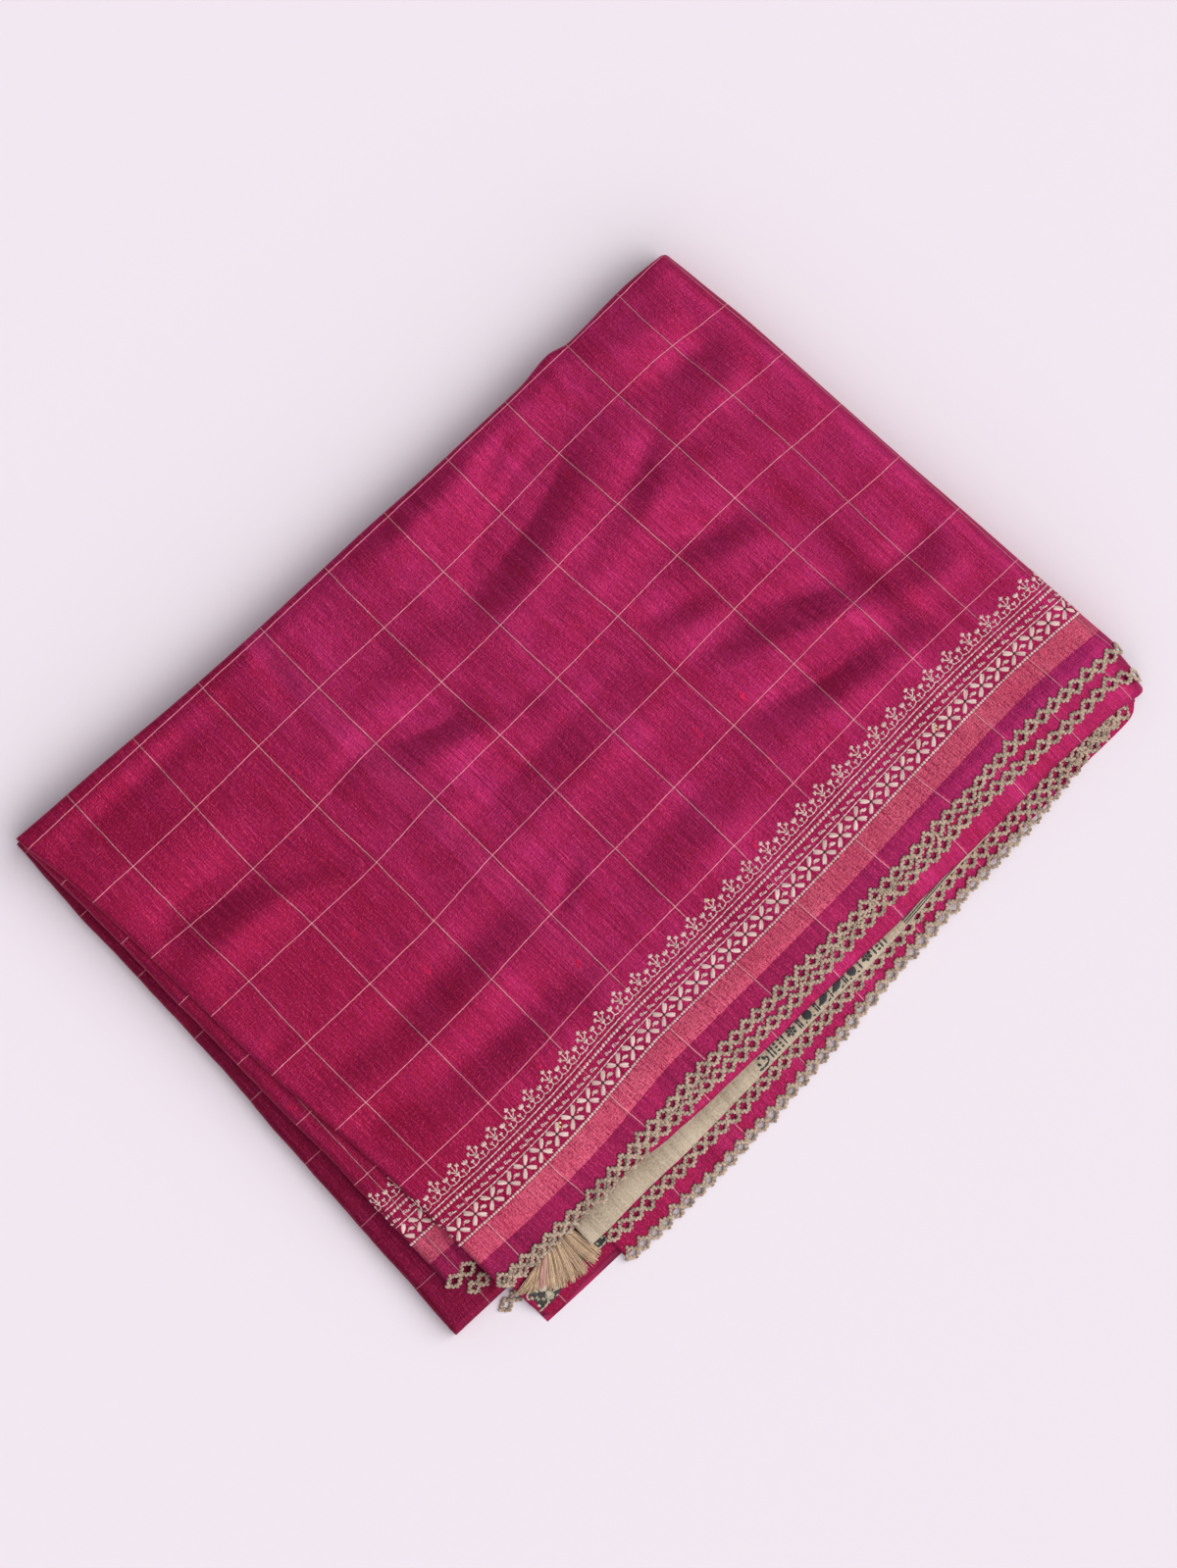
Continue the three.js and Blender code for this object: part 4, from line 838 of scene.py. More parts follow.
# Painted shade: the turned corner lies in shadow, so its silk is darkened toward near black.
corner_silk = silk_material("magenta silk of the turned corner, painted shade", bands=False, shade=0.76, along_lines=False)
s_row = np.concatenate([np.linspace(-175, -170, 9), np.arange(-169, -126, 1.2), [-126]])
x_grid, share_grid = np.meshgrid(s_row, np.linspace(0, 1, 34))
rim_grid = corner_rim(x_grid)
y_grid = rim_grid + (-128 - rim_grid) * share_grid
rim_round = 0.9 * quarter_round((y_grid - rim_grid) / 1.2)
side_round = 0.9 * quarter_round((x_grid + 175) / 1.2)
top_z = corner_top(x_grid, y_grid) + 0.25 * ripple(x_grid, y_grid, 31) * share_grid
upper = place_points(x_grid, y_grid, top_z - np.maximum(rim_round, side_round) * 0.8)
lower = place_points(x_grid, y_grid, corner_top(x_grid, y_grid) - UNDER_FOLD)
flat = np.stack([along_cloth(x_grid, y_grid), 400 + y_grid - rim_grid], -1)
corner = new_wall("corner_cloth", "corner_fold", upper, lower, corner_silk, flat)

# The figured patch lies just over the magenta, from a little inside its rim back under the fringe.
BLACK_BAND = {"ground": colour(52, 48, 46), "shade": colour(26, 25, 27), "light": colour(84, 78, 72)}
figure_yarn = yarn_material("figure yarn", colour(132, 122, 104), colour(196, 186, 164), 3000, 0.7)
FIGURE_LEFT = -168  # left of this the corner's rim turns up, and the patch does not follow it
x_patch, t_patch = np.meshgrid(np.linspace(-172.2, -129.4, 40), np.linspace(0, 1, 14))
patch_rim = corner_rim(np.maximum(x_patch, FIGURE_LEFT)) + 6.0 + 0.7 * np.sin(x_patch / 5)
y_patch = patch_rim + (-150 - patch_rim) * t_patch
patch = place_points(x_patch, y_patch, corner_top(x_patch, y_patch) + 0.28)
figured_patch = new_piece("corner_patch", patch, grid_faces(*x_patch.shape),
                          raw_silk_material("black band silk", BLACK_BAND), np.stack([x_patch, y_patch], -1))


def on_corner(s, y, lift):
    """Puts a place just over the figured patch."""
    return place_points(s, y, corner_top(s, y) + 0.3 + lift)


PATCH_ROW = [
    # place along the pile, motif
    (-170.4, SCROLL), (-165.4, BUD), (-159.6, LEAF), (-154.4, BAR), (-136.6, BAR), (-132.4, SCROLL),
]
patch_marks = []
for place, motif in PATCH_ROW:
    for row, turned in ((8.2, 1), (13.6, -1)):
        facing = [((a[0] * turned, a[1] * turned), (b[0] * turned, b[1] * turned), w) for a, b, w in motif]
        middle = corner_rim(max(place, FIGURE_LEFT)) + row
        patch_marks.append(motif_stitches(on_corner, place, middle, facing, 0.95))
stitched("corner_band", patch_marks, figure_yarn)

# ----------------------------------------------------------------------------------------------------- fringe
# The threads of the pallu's end are left long and lie in soft locks over the turned-out corner.
# Straw-coloured silk, with one lock that has caught the magenta dye.

FRINGE_RIM = np.array([
    (-176.5, -147.5), (-171, -151), (-166, -154.5), (-161, -158.5), (-155, -161), (-147, -161.8),
    (-140, -161.2), (-134.5, -159.5),
])
LOCKS = 9
STRANDS = 640
ROOT = {"left": -161.0, "right": -137.8, "y": -142.0}
rng = np.random.default_rng(51)
lock = rng.integers(0, LOCKS, STRANDS)
in_lock = rng.normal(0, 0.24, STRANDS).clip(-0.5, 0.5)
root_share = np.clip((lock + 0.5 + in_lock * 0.9) / LOCKS, 0, 1)
tip_share = np.clip((lock + 0.5 + in_lock * 0.94) / LOCKS, 0.01, 0.99)
root_x = ROOT["left"] + (ROOT["right"] - ROOT["left"]) * root_share
root_y = ROOT["y"] - 2.5 * (1 - root_share) ** 2 + 0.4 * rng.normal(0, 1, STRANDS).clip(-1, 1)
root = np.stack([root_x, root_y], -1)
knots = np.linspace(0, 1, len(FRINGE_RIM))
tip = np.stack([np.interp(tip_share, knots, FRINGE_RIM[:, c]) for c in (0, 1)], -1)
tip = root + (tip - root) * rng.uniform(0.84, 1.05, STRANDS)[:, None]
along_strand = np.linspace(0, 1, 10)
path = root[:, None] + (tip - root)[:, None] * along_strand[None, :, None]
bow = rng.normal(0, 0.45, STRANDS)[:, None] * np.sin(np.pi * along_strand)
bow = bow + (0.35 * rng.normal(0, 1, STRANDS) + rng.normal(0, 0.5, LOCKS)[lock])[:, None] * along_strand ** 2
way = (tip - root) / np.linalg.norm(tip - root, axis=1, keepdims=True)
path = path + np.stack([-way[:, 1], way[:, 0]], -1)[:, None] * bow[:, :, None]
pile_up = rng.uniform(0, 1, STRANDS) * (1 - (in_lock / 0.56) ** 2) * 2.3
height = 0.5 + pile_up[:, None] * (0.45 + 0.55 * np.sin(np.pi * along_strand ** 0.8))
z = corner_top(path[:, :, 0], path[:, :, 1]) + height
centre = np.concatenate([path, z[:, :, None]], -1)
side = np.stack([-way[:, 1], way[:, 0], 0 * way[:, 0]], -1)[:, None, None]
radius = (0.19 * (1 - 0.3 * along_strand))[None, :, None, None]
turn = np.arange(4) * np.pi / 2 + np.pi / 4
ring = side * np.cos(turn)[None, None, :, None] + np.array([0, 0, 1.0]) * np.sin(turn)[None, None, :, None]
strand_points = centre[:, :, None] + ring * radius
strand_faces = grid_faces(len(along_strand), 4, closed=True)
cap = (len(along_strand) - 1) * 4 + np.arange(4)
strand_faces = np.concatenate([strand_faces, cap[None], np.arange(4)[::-1][None]])
all_faces = (strand_faces[None] + 4 * len(along_strand) * np.arange(STRANDS)[:, None, None]).reshape(-1, 4)
tone = np.where((lock == 2) & (rng.uniform(0, 1, STRANDS) < 0.75), 1.6, rng.uniform(0, 1, STRANDS))
fringe_yarn = yarn_material("straw fringe threads", colour(104, 70, 46), colour(240, 208, 172), 900, 0.55)
tree = fringe_yarn.node_tree
base = tree.nodes["Principled BSDF"].inputs["Base Color"]
caught = ramp(tree, node(tree, "ShaderNodeAttribute", attribute_name="tone").outputs["Fac"], 1.2, 1.4)
tree.links.new(tint(tree, base.links[0].from_socket, caught, 0.7, colour(176, 110, 122)), base)
fringe = new_piece("fringe_threads", strand_points, all_faces, fringe_yarn,
                   tone=np.repeat(tone, 4 * len(along_strand)))
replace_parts(fringe, "fringe")

# -------------------------------------------------------------------------------------- stretches at the left
# Two stretches are stepped out at the left. The lower one is folded round its front and its left edge; the
# one over it is cut by its own selvedge, whose border and edging show in the step.

LEFT_HIDDEN_X = -177.6
LOWER_TOP = 10.0
MIDDLE_TOP = 19.8
MIDDLE_FRONT = -122.5
SINK_FROM_Y = -88.0
SINK_SLOPE = 0.136
LEFT_RADIUS = 3.4


def middle_top(y):
    """Height of the middle stretch: level, then sinking to the front where fewer layers lie under it."""
    return MIDDLE_TOP - SINK_SLOPE * np.maximum(SINK_FROM_Y - y, 0)


def stepped_cloth(name, node_name, left, height, front, bottom, back, folded_front, material, from_edge, seed):
    """A stretch that lies level and turns down over the left-hand end, and over its front if it is folded
    there: a wall between an outer and an inner grid, each a level part, a quarter circle and a straight
    drop."""
    r = LEFT_RADIUS
    bend_turn = np.concatenate([[np.pi / 2] * 5, np.linspace(np.pi / 2, 0, 9)[1:]])
    bend_drop = np.concatenate([np.linspace(1, 0, 5), np.zeros(8)])
    side_turn = np.concatenate([bend_turn, np.zeros(14)])
    side_drop = np.concatenate([bend_drop, np.zeros(14)])
    level_share = np.concatenate([np.zeros(13), np.linspace(0, 1, 14)])
    y_level = np.arange(front + (r if folded_front else 0.2), back, 1.6)
    if folded_front:
        y_turn = np.concatenate([bend_turn, np.zeros(len(y_level))])
        y_drop = np.concatenate([bend_drop, np.zeros(len(y_level))])
        y_base = np.concatenate([np.full(13, front + r), y_level])
    else:
        y_base = np.concatenate([[front], y_level])
        y_turn = y_drop = np.zeros(len(y_base))

    def face(depth):
        y = np.repeat((y_base - (r - depth) * np.sin(y_turn))[:, None], len(side_turn), 1)
        bend = left(y) + 0.35 * ripple(y, np.zeros_like(y), seed + 4) * np.sin(side_turn) + r
        x = bend - (r - depth) * np.sin(side_turn)
        x = x + (LEFT_HIDDEN_X - bend) * level_share
        falls = np.hypot(r * (1 - np.cos(side_turn)), r * (1 - np.cos(y_turn))[:, None])
        facing = np.minimum(np.cos(side_turn), np.cos(y_turn)[:, None])
        z = height(y) + 0.3 * ripple(y, x, seed) * facing - falls - depth * facing
        z = z + (bottom - z) * np.maximum(side_drop, y_drop[:, None])
        return np.stack([x, y, np.maximum(z, bottom)], -1)

    outer = face(0.0)
    flat = np.stack([outer[..., 0] - r * side_drop, outer[..., 1] + from_edge], -1)
    return new_wall(name, node_name, outer, face(SILK), material, flat)


lower_stretch = stepped_cloth("lower_stretch_cloth", "lower_stretch", left_of["lower"],
                              lambda y: LOWER_TOP + 0 * y, -142.8, 0.0, 152.5, True, shaded_silk,
                              60 + CHECK * 4 + 3.4, 61)
# Painted shade: the stretch in the step lies in the shadow of the layers above, so its silk is darkened toward
# near black.
step_silk = silk_material("magenta silk in the step, painted shade", shade=0.84)
middle_stretch = stepped_cloth("middle_stretch_cloth", "middle_stretch", left_of["middle"], middle_top,
                               MIDDLE_FRONT, LOWER_TOP + SEAM, 149.0, False, step_silk, -MIDDLE_FRONT, 63)


def flat_step(z, fall, rim_y):
    """Puts a place on a level step, sinking past the cloth's edge by fall."""

    def put(s, y, lift):
        return place_points(s, y, z - fall * np.clip((rim_y - y) / 4, 0, 1) + lift)

    return put


LEFT_EDGINGS = [
    # node, from, to, edge of the cloth, height, fall
    ("crochet_left_upper", -195.4, -179.6, -122.6, 14.5, 2.4),
    ("crochet_left_middle", -190.0, -179.4, -131.0, 10.9, 0.0),
    ("crochet_left_lower", -186.0, -173.0, -147.0, 0.55, 0.0),
]
for number, (node_name, start, stop, rim_y, z_step, fall) in enumerate(LEFT_EDGINGS):
    edging(node_name + "_yarn", node_name, start, stop, lambda s, rim_y=rim_y: rim_y + 0 * s,
           flat_step(z_step, fall, rim_y), 70 + number, drop=0.0)

# ----------------------------------------------------------------------------------- folds over the end piece
# The middle of the sari's width is folded to the front, over the pallu; the second selvedge lies on that
# fold, a little behind the first one.

front_layer("front_fold_cloth", "front_fold", plain_silk, LEVEL["fold"], FRONT_FOLD, fold_rim,
            -175.2, 205, turn_to=15.5, rounded=1.5, seed=11, wave=0.3, edge_wave=0.35, show=30, line_shift=11.5)
front_layer("second_selvedge_cloth", "second_selvedge", selvedge_silk, LEVEL["second"], SILK,
            second_rim, -175.2, 206, turn_to=14, seed=13, wave=0.2, show=24, line_shift=11.5)
edging("crochet_second_yarn", "crochet_second", -176.4, 220.6, second_rim, on_layer(LEVEL["second"]), 23)

# -------------------------------------------------------------------------------------------------- top panel
# The uppermost stretch lies smooth over the pile, with a few soft creases from its earlier folds. It is
# folded under at the left and the back, turns over the last fold at the right, and lies free along its
# selvedge at the front.

NOSE_RADIUS = 2.4
NOSE_TURN = np.radians(130)

CREASES = [
    # x, y, length, width, turn in degrees, rise
    (-154, 77, 60, 19, -10, -1.5), (-154, 55, 62, 20, -6, 1.5), (-150, 104, 60, 26, -24, 1.1),
    (-118, 56, 50, 14, -26, -0.9), (-30, 67, 50, 17, -20, -1.6), (-30, 50, 46, 17, -18, 1.3),
    (-6, 86, 60, 20, -6, 0.8), (6, 46, 40, 13, -16, -0.5), (64, 108, 100, 27, 17, -1.7),
    (54, 82, 92, 24, 16, 1.4), (64, 62, 92, 22, 12, 0.8), (26, 136, 66, 24, 4, 1.2),
    (86, 29, 32, 11, -24, -0.8), (88, 15, 36, 12, -22, 0.5), (122, 43, 42, 14, -19, -1.0),
    (118, 29, 40, 13, -22, 0.7), (132, 64, 56, 22, -14, 1.0), (132, -5, 44, 12, -28, -1.2),
    (122, -20, 76, 15, -22, 1.6), (110, -36, 74, 14, -12, -1.3), (112, -53, 70, 15, -8, 0.9),
    (149, -26, 66, 13, 95, -0.6), (163, -30, 70, 13, 93, 0.8), (186, -23, 42, 14, -4, -0.8),
    (184, -42, 44, 14, -6, 0.6), (-104, -19, 120, 20, 2, -0.8), (-98, -38, 90, 20, 2, 0.9),
    (-92, -57, 80, 18, -5, -0.9), (-100, -76, 90, 18, -4, 0.6), (-166, -48, 40, 16, -24, -0.8),
    (-160, -30, 50, 18, -18, 0.5), (166, 106, 50, 15, -8, -1.0), (156, 127, 60, 18, -12, 0.9),
    (166, 86, 50, 16, -3, 0.6), (118, 86, 34, 12, 24, -0.5), (112, 70, 40, 14, 22, 0.4),
    (70, 132, 40, 12, 22, -0.5), (-188, 25, 110, 11, 88, 0.7), (-186, 8, 26, 10, -5, -0.6),
    (-10, 23, 90, 11, 2, -0.4), (4, 2, 110, 20, 3, 0.8), (88, 5, 36, 18, -6, -0.8),
    (-70, 76, 34, 12, 8, -0.5), (-66, 126, 46, 12, 85, -0.7), (-140, 134, 80, 12, -2, -0.6),
    (-36, -30, 26, 11, 28, -0.6), (18, -40, 60, 14, 5, -0.5), (20, -60, 90, 18, 6, 0.6),
    (-50, 28, 46, 24, 74, 0.5), (196, 62, 26, 9, 10, -0.5), (197, 40, 26, 9, 6, -0.5),
    (193, 84, 26, 9, 12, -0.5), (200, 8, 26, 10, 0, 0.5),
]
CREASE_STRENGTH = 2.1
DEEPEST = -2.1


def creased(x, y):
    """Height that the creases add: each is a long soft hump or hollow, a bell curve along it and across
    it."""
    total = 0
    for cx, cy, length, width, turn, rise in CREASES:
        c, s = np.cos(np.radians(turn)), np.sin(np.radians(turn))
        along = ((x - cx) * c + (y - cy) * s) / (length / 2)
        across = ((y - cy) * c - (x - cx) * s) / (width / 2)
        total = total + rise * np.exp(-(along ** 2 + across ** 2))
    fine = 0.1 * ripple(x, y, 91) + 0.1 * ripple(y * 0.9, x * 0.25, 92) + 0.07 * ripple(x * 2.1, y * 0.8, 93)
    gap = np.minimum(np.minimum(x - left_of["top"](y), right_end(y) - END_RADIUS - x),
                     np.minimum(back_edge(x) - y, y - CREST_Y))
    droop = 1.1 * (1 - ease((back_edge(x) - y) / 9)) * ease(9 - gap)
    return np.maximum(CREASE_STRENGTH * total + fine, DEEPEST) * ease(gap / 14) - droop


def panel_top(x, y):
    """Upper face of the top panel. Past the crest it bellies out over the straight slope of the bed."""
    rim = edge["top"](x)
    drop = PILE_TOP - bed(x, rim) - LEVEL["top"]
    past = (CREST_Y - y) / (CREST_Y - rim)
    sloping = np.where(past > 1, bed(x, y) + LEVEL["top"], PILE_TOP - drop * np.clip(past, 0, 1) ** 1.6)
    return np.where(y >= CREST_Y, PILE_TOP + creased(x, y), sloping)


def on_panel(s, y, lift):
    """Puts a place on the top panel, round its left-hand fold and over the last fold at the right."""
    s, y, lift = np.broadcast_arrays(np.asarray(s, float), np.asarray(y, float), np.asarray(lift, float))
    bend = left_of["top"](y) + NOSE_RADIUS
    placed = over_end(panel_top, right_end(y), np.maximum(s, bend), y, -lift)
    turn = np.clip((bend - s) / NOSE_RADIUS, 0, NOSE_TURN)
    reach = NOSE_RADIUS + lift
    round_z = panel_top(bend, y) - NOSE_RADIUS + reach * np.cos(turn)
    round_left = np.stack([bend - reach * np.sin(turn), y, round_z], -1)
    return np.where((s < bend)[..., None], round_left, placed)


# The width of the cloth is read from the check lines that run along it: line 1 lies at the back, line 7 by
# the border.
LINES_ALONG = {
    "x": [-190, -150, -100, -50, 0, 50, 100, 150, 195],
    "line 1": [146, 146, 145.5, 145, 145, 145, 145.5, 146, 147],
    "line 2": [108.8, 108.4, 109.4, 110.3, 110, 111.2, 114, 115, 111.5],
    "line 3": [73, 71.3, 72, 75, 75, 77, 79.4, 80.6, 78.4],
    "line 4": [36, 36, 35.6, 39, 40.3, 42.2, 44.7, 46, 44.4],
    "line 5": [-1.6, -1.6, -0.9, 3.1, 5.6, 7.2, 9.7, 11.3, 9.4],
    "line 6": [-38.8, -38.8, -37.5, -33.8, -31.6, -28.8, -26.3, -24.4, -25.6],
    "line 7": [-76.6, -76.6, -74.7, -70.6, -68.8, -66, -62.8, -60.3, -60],
}
line_along = [curve(LINES_ALONG["x"], LINES_ALONG[f"line {k}"]) for k in range(7, 0, -1)]
LINE_7 = 60.0


def across_cloth(s, y):
    """Distance from the selvedge: straight runs between the edge and each check line in turn."""
    knots = [edge["top"](s)] + [line(s) for line in line_along]
    widths = [LINE_7] + [CHECK] * 6
    total = 0
    for low, high, width in zip(knots[:-1], knots[1:], widths):
        total = total + width * np.clip((y - low) / (high - low), 0, 1)
    return total + np.minimum(y - knots[0], 0) + np.maximum(y - knots[-1], 0)


def border_y(s, w):
    """The place across the pile that lies w from the selvedge, inside the first check line."""
    return edge["top"](s) + w * (line_along[0](s) - edge["top"](s)) / LINE_7


# The panel's rows run from its selvedge over the crest to the back fold, its columns from fold to fold.
end_turns = (END_RADIUS + END_FOOT_RADIUS) * np.pi / 2
wrap = end_turns + PILE_TOP - END_RADIUS - END_FOOT_RADIUS
nose_places = -NOSE_TURN * NOSE_RADIUS * np.linspace(1, 0.1, 7)
flat_share = np.linspace(0, 1, 292)
past_share = np.linspace(0, 1, 32)[1:]
front_share = np.linspace(0, 1, 22)[:-1]
level_share = np.linspace(0, 1, 196)
back_turn = NOSE_TURN * np.linspace(0, 1, 9)[1:]
FRONT_ROWS = len(front_share)
FLAT_ROWS = FRONT_ROWS + len(level_share)


def panel_grid(depth):
    """The panel's points at a depth below its face, with each one's place on the flat cloth. The edges curve
    and the ends slant, so rows and columns are worked out from each other, four times over."""
    rows = FLAT_ROWS + len(back_turn)
    s = np.repeat(np.linspace(-195, 205, len(nose_places) + len(flat_share) + len(past_share))[None], rows, 0)
    for _ in range(4):
        rim = edge["top"](s[:FRONT_ROWS])
        crease = back_edge(s) - NOSE_RADIUS
        y = np.concatenate([
            rim + (CREST_Y - rim) * front_share[:, None],
            CREST_Y + (crease[FRONT_ROWS:FLAT_ROWS] - CREST_Y) * level_share[:, None],
            crease[FLAT_ROWS:] + (NOSE_RADIUS - depth) * np.sin(back_turn)[:, None],
        ])
        bend = left_of["top"](y[:, :1]) + NOSE_RADIUS
        start = right_end(y[:, -1:]) - END_RADIUS
        level = bend + (start - bend) * flat_share
        s = np.concatenate([bend + nose_places, level, start + wrap * past_share], 1)
    drop = np.full((rows, 1), depth)
    drop[FLAT_ROWS:, 0] = NOSE_RADIUS - (NOSE_RADIUS - depth) * np.cos(back_turn)
    points = on_panel(s, y, -drop)
    nose = slice(0, len(nose_places))
    turn = np.clip(-nose_places / NOSE_RADIUS, 0, NOSE_TURN)[None]
    turn_back = np.concatenate([np.zeros(FLAT_ROWS), back_turn])[:, None]
    falls = np.hypot(NOSE_RADIUS * (1 - np.cos(turn)), NOSE_RADIUS * (1 - np.cos(turn_back)))
    bend = left_of["top"](y[:, nose]) + NOSE_RADIUS
    points[:, nose, 0] = bend - (NOSE_RADIUS - depth) * np.sin(turn)
    facing = np.minimum(np.cos(turn), np.cos(turn_back))
    points[:, nose, 2] = panel_top(bend, y[:, nose]) - falls - depth * facing
    flat_y = y.copy()
    flat_y[FLAT_ROWS:] += NOSE_RADIUS * (back_turn - np.sin(back_turn))[:, None]
    return points, np.stack([along_cloth(s, y), across_cloth(s, flat_y)], -1)


# A lip turned under along the front gives the thin shell its edge.
outer, flat_places = panel_grid(0.0)
inner, _ = panel_grid(0.7)
points = np.concatenate([inner[3:4], inner[:1] + np.array([0, 0.2, 0]), outer])
places = np.concatenate([flat_places[3:4], flat_places[:1], flat_places])
panel_silk = silk_material("magenta silk of the top panel", border=True)
top_panel = new_piece("top_panel_cloth", points, grid_faces(*points.shape[:2]), panel_silk, places)
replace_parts(top_panel, "top_panel")
edging("crochet_top_yarn", "crochet_top", -178.4, 222.5, edge["top"], on_panel, 24)

# ----------------------------------------------------------------------------------------------- woven border
# Above the pink band a border runs the whole length, worked in off-white silk: a beaded line, a row of
# four-petalled flowers, a thin line, a broken zigzag, a rope, another thin line, and a scroll that carries
# sprigs and buds.

border_yarn = yarn_material("off-white border silk", colour(172, 134, 128), colour(236, 207, 200), 2200, 0.6)
BORDER = {
    # distance of each row of the border from the selvedge
    "bead": 23.4, "flower": 28.9, "line": 33.4, "zigzag": 36.1, "rope": 39.7, "upper line": 42.3, "scroll": 44.3,
}
FLOWER_PITCH = 10.15
SPRIG_PITCH = 11.7
FIRST_FLOWER = -174
FIRST_SPRIG = -169.3
ZIGZAG = [
    # place along the border, rise of each leg
    (0, 1.5), (0.9, 1.0), (1.8, 1.25), (2.7, 0.8),
]
LOZENGE = [
    # shift along and across, half length
    (-0.1, 0.0, 1.5), (-0.55, 0.55, 1.1), (0.35, -0.55, 1.1),
]
STEM = [
    # height from, height to, width
    (1.0, 3.6, 0.8), (3.2, 5.6, 0.7), (5.4, 7.0, 0.68),
]
LEAVES = [
    # from along and up, to along and up, width; on either side of the stem
    (0.3, 3.4, 2.2, 5.4, 0.7), (2.1, 5.3, 3.2, 5.2, 1.05), (2.1, 5.3, 2.9, 6.5, 1.05),
    (2.0, 5.2, 1.7, 6.6, 0.9), (0.2, 2.0, 1.2, 3.2, 0.9), (0.0, 7.0, 0.95, 8.3, 1.05),
]


def border_stitches(put, to_y, start, stop, seed):
    """All the border's stitches between two places along the pile, on the layer that put and to_y
    describe."""
    rng = np.random.default_rng(seed)
    parts = []

    def add(s0, w0, s1, w1, width, height=0.5):
        s0, w0, s1, w1 = (np.atleast_1d(np.asarray(v, float)) for v in (s0, w0, s1, w1))
        s0, w0, s1, w1 = np.broadcast_arrays(s0, w0, s1, w1)
        keep = (np.minimum(s0, s1) > start) & (np.maximum(s0, s1) < stop)
        shakes = rng.normal(0, 0.07, (4, keep.sum()))
        s0, w0, s1, w1 = (v[keep] + shake for v, shake in zip((s0, w0, s1, w1), shakes))
        parts.append(stitches_on(put, s0, to_y(s0, w0), s1, to_y(s1, w1), 0.12, width, height))

    for row, pitch, half, reach, width in (("bead", 1.45, 0.5, 0.8, 1.5), ("rope", 1.8, 0.6, 1.1, 1.55)):
        run = np.arange(start, stop, pitch)
        add(run, BORDER[row] - half, run + reach, BORDER[row] + half, width, 0.9)
    for line in ("line", "upper line"):
        run = np.arange(start, stop, 2.3)
        add(run, BORDER[line], run + 2.6, BORDER[line], 0.72)
    groups = np.arange(start, stop, 4.7)
    groups = groups + rng.normal(0, 0.25, len(groups))
    zigzag = BORDER["zigzag"]
    for step, rise in ZIGZAG:
        add(groups + step, zigzag - 0.8, groups + step + 0.15, zigzag - 0.8 + rise, 0.78, 0.45)
    add(groups - 0.2, zigzag + 0.75, groups + 1.3, zigzag + 0.45, 0.6, 0.4)
    add(groups + 1.5, zigzag - 0.6, groups + 3.6, zigzag - 0.75, 0.6, 0.4)
    flowers = FIRST_FLOWER + FLOWER_PITCH * np.arange(-3, 41)
    row = BORDER["flower"]
    for way_s in (-1, 1):
        for way_w in (-1, 1):
            for spread in (-0.36, 0.36):
                add(flowers + 0.35 * way_s, row + 0.35 * way_w,
                    flowers + 3.85 * way_s + spread * way_w * way_s, row + 3.85 * way_w - spread, 1.75, 0.9)
    between = flowers + FLOWER_PITCH / 2
    for step, rise, half in LOZENGE:
        add(between + step - half, row + rise, between + step + half, row + rise, 0.85)
    add(between - 2.3, row - 0.3, between - 1.4, row + 0.1, 0.6, 0.4)
    sprigs = FIRST_SPRIG + SPRIG_PITCH * np.arange(-3, 36)
    base = BORDER["scroll"]
    arc = np.linspace(0, np.pi, 6)
    for middle in (0.25, 0.75):
        s_arc = sprigs[:, None] + SPRIG_PITCH * (middle - 0.5 + 0.25 * -np.cos(arc))[None]
        w_arc = base + 1.0 - 1.1 * np.sin(arc)[None] + np.zeros_like(s_arc)
        first, last = slice(None, -1), slice(1, None)
        add(s_arc[:, first].ravel(), w_arc[:, first].ravel(), s_arc[:, last].ravel(), w_arc[:, last].ravel(),
            0.72, 0.45)
    for low, high, width in STEM:
        add(sprigs, base + low, sprigs, base + high, width)
    for hand in (-1, 1):
        for s_in, w_in, s_out, w_out, width in LEAVES:
            add(sprigs + s_in * hand, base + w_in, sprigs + s_out * hand, base + w_out, width)
    add(sprigs, base + 7.0, sprigs, base + 8.9, 1.05)
    buds = sprigs + SPRIG_PITCH * 0.5
    add(buds, base + 1.0, buds, base + 3.6, 0.7)
    for hand in (-1, 0, 1):
        add(buds + 0.35 * hand, base + 3.2, buds + 1.15 * hand, base + 5.4 - 0.3 * abs(hand), 1.15)
    for quarter in (-0.25, 0.25):
        small = sprigs + SPRIG_PITCH * quarter
        add(small, base + 0.2, small, base + 1.8, 0.6)
        for hand in (-1, 1):
            add(small + 0.2 * hand, base + 1.6, small + 0.7 * hand, base + 2.8, 1.0)
    return parts


stitched("woven_border", border_stitches(on_panel, border_y, -181.5, 226, 81), border_yarn)

knot_yarn = yarn_material("dark flower centres", colour(20, 14, 14), colour(44, 32, 30), 3000)
centres = FIRST_FLOWER + FLOWER_PITCH * np.arange(39)
centre_y = border_y(centres, BORDER["flower"])
knots = stitches_on(on_panel, centres - 0.5, centre_y, centres + 0.5, centre_y, 0.25, 1.15, 0.8)
stitched("flower_centres", [knots], knot_yarn)

# A few gold specks catch in the border, and thick red slubs show where the weft yarn was joined.
gold_yarn = yarn_material("gold specks", colour(206, 160, 84), colour(252, 232, 176), 2600, 0.35)
SPECKS = np.array([(-110.0, -105.6), (-108.6, -104.4), (7.0, -77.0), (133.0, -90.4), (134.0, -89.2)])
speck_x, speck_y = SPECKS.T
specks = stitches_on(on_panel, speck_x - 0.5, speck_y, speck_x + 0.5, speck_y + 0.2, 0.55, 1.5, 0.7)
stitched("gold_specks", [specks], gold_yarn)

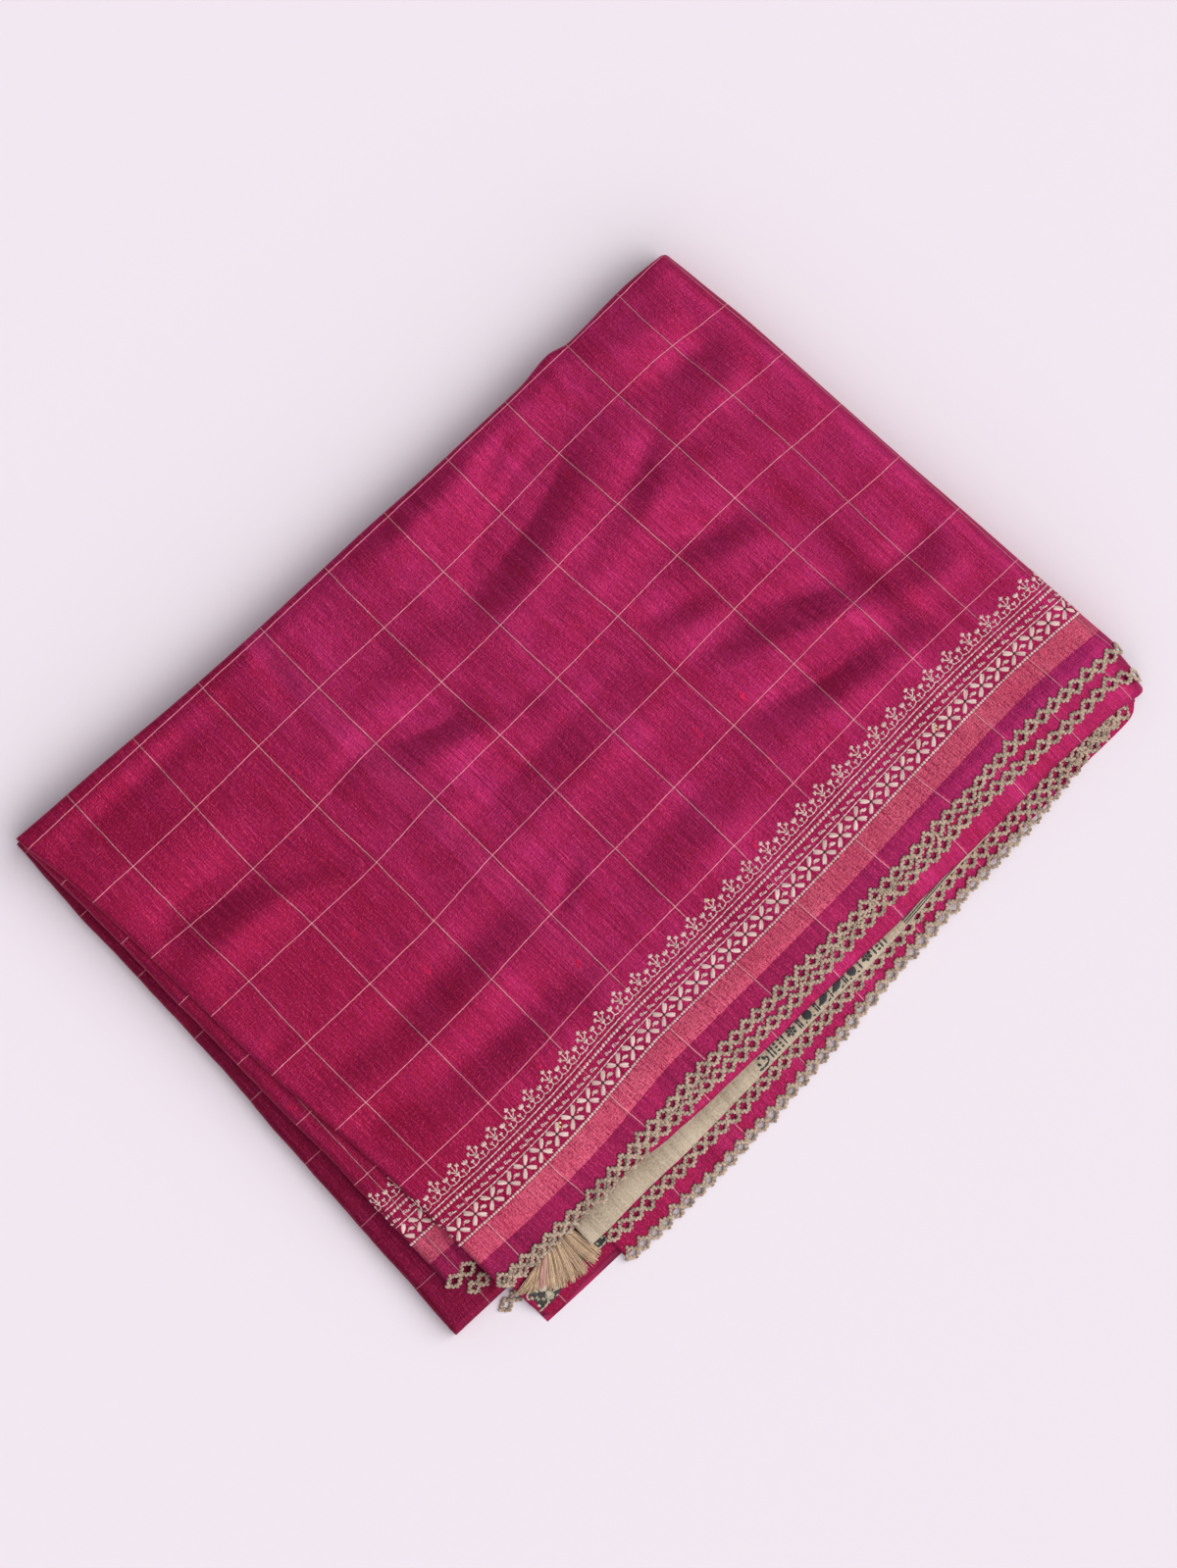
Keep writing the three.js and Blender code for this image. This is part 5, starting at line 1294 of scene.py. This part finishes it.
slub_yarn = yarn_material("red slubs", colour(150, 6, 60), colour(190, 14, 90), 1800, 0.8)
rng = np.random.default_rng(97)
SMALL_SLUBS = 26
slub_x = np.concatenate([[-94, -94.8, -92.6, -94.4, -93, -95.4], rng.uniform(-170, 190, SMALL_SLUBS)])
slub_y = np.concatenate([[41.4, 39.8, -12, -13.4, -46, -47.2], rng.uniform(-70, 140, SMALL_SLUBS)])
slub_half = np.concatenate([[2.4, 1.4, 2.2, 1.6, 1.8, 1.2], rng.uniform(0.5, 1.2, SMALL_SLUBS)])
slub_width = np.concatenate([np.full(6, 1.5), np.full(SMALL_SLUBS, 0.7)])
slubs = stitches_on(on_panel, slub_x, slub_y - slub_half, slub_x, slub_y + slub_half, 0.02, slub_width, 0.3)
stitched("thick_slubs", [slubs], slub_yarn)


def on_middle(s, y, lift):
    """Puts a place on the stepped middle stretch, round its left-hand fold."""
    bend = left_of["middle"](y) + LEFT_RADIUS
    turn = np.clip((bend - s) / LEFT_RADIUS, 0, np.pi / 2)
    reach = LEFT_RADIUS + lift
    x = np.where(s < bend, bend - reach * np.sin(turn), s)
    z = np.where(s < bend, middle_top(y) - LEFT_RADIUS + reach * np.cos(turn), middle_top(y) + lift)
    return place_points(x, y, z)


middle_parts = border_stitches(on_middle, lambda s, w: MIDDLE_FRONT + w + 0 * s, -197.2, -179.5, 83)
stitched("middle_border", middle_parts, border_yarn)

# -------------------------------------------------------------------------------------------- table and light
# The pile lies on a plain pale table under broad soft daylight from its right-hand end.

TABLE_HALF = 3.0
corners = [(x * TABLE_HALF, y * TABLE_HALF, 0) for x, y in ((-1, -1), (1, -1), (1, 1), (-1, 1))]
table_mesh = bpy.data.meshes.new("table")
table_mesh.from_pydata(corners, [], [(0, 1, 2, 3)])
table = bpy.data.objects.new("table", table_mesh)
bpy.context.scene.collection.objects.link(table)
paint, tree, shader = new_material("pale table")
shader.inputs["Base Color"].default_value = colour(228, 220, 227)
shader.inputs["Roughness"].default_value = 0.7
table_mesh.materials.append(paint)


def soft_sun(name, energy, spread, height, direction, tint):
    """A broad even light: how wide its source looks, how high it stands and from which direction it comes."""
    lamp = bpy.data.lights.new(name, "SUN")
    lamp.energy = energy
    lamp.angle = np.radians(spread)
    lamp.color = tint
    made = bpy.data.objects.new(name, lamp)
    made.rotation_euler = (0, np.radians(90 - height), np.radians(direction))
    bpy.context.scene.collection.objects.link(made)


soft_sun("window", 2.1, 60, 50, -30, (1.0, 0.985, 0.975))
soft_sun("second window", 1.45, 80, 28, -110, (1.0, 0.99, 1.0))

world = bpy.data.worlds.new("room light")
world.use_nodes = True
world.node_tree.nodes["Background"].inputs[0].default_value = (0.92, 0.90, 0.95, 1.0)
world.node_tree.nodes["Background"].inputs[1].default_value = 0.44
bpy.context.scene.world = world

# The camera looks straight down, turned so that the pile's long side climbs to the upper right.
TURN = -43.0
LENS = 150.0
FRAME_HEIGHT = 0.6983
SENSOR = 36.0
camera_data = bpy.data.cameras.new("camera")
camera_data.sensor_fit = "VERTICAL"
camera_data.sensor_height = SENSOR
camera_data.lens = LENS
camera = bpy.data.objects.new("camera", camera_data)
aim = (np.array([3.34, -2.82, 20.0]) + SHIFT) * MM
camera.location = (aim[0], aim[1], aim[2] + FRAME_HEIGHT * LENS / SENSOR)
camera.rotation_euler = (0, 0, np.radians(TURN))
bpy.context.scene.collection.objects.link(camera)
bpy.context.scene.camera = camera
bpy.context.scene.view_settings.view_transform = "Standard"
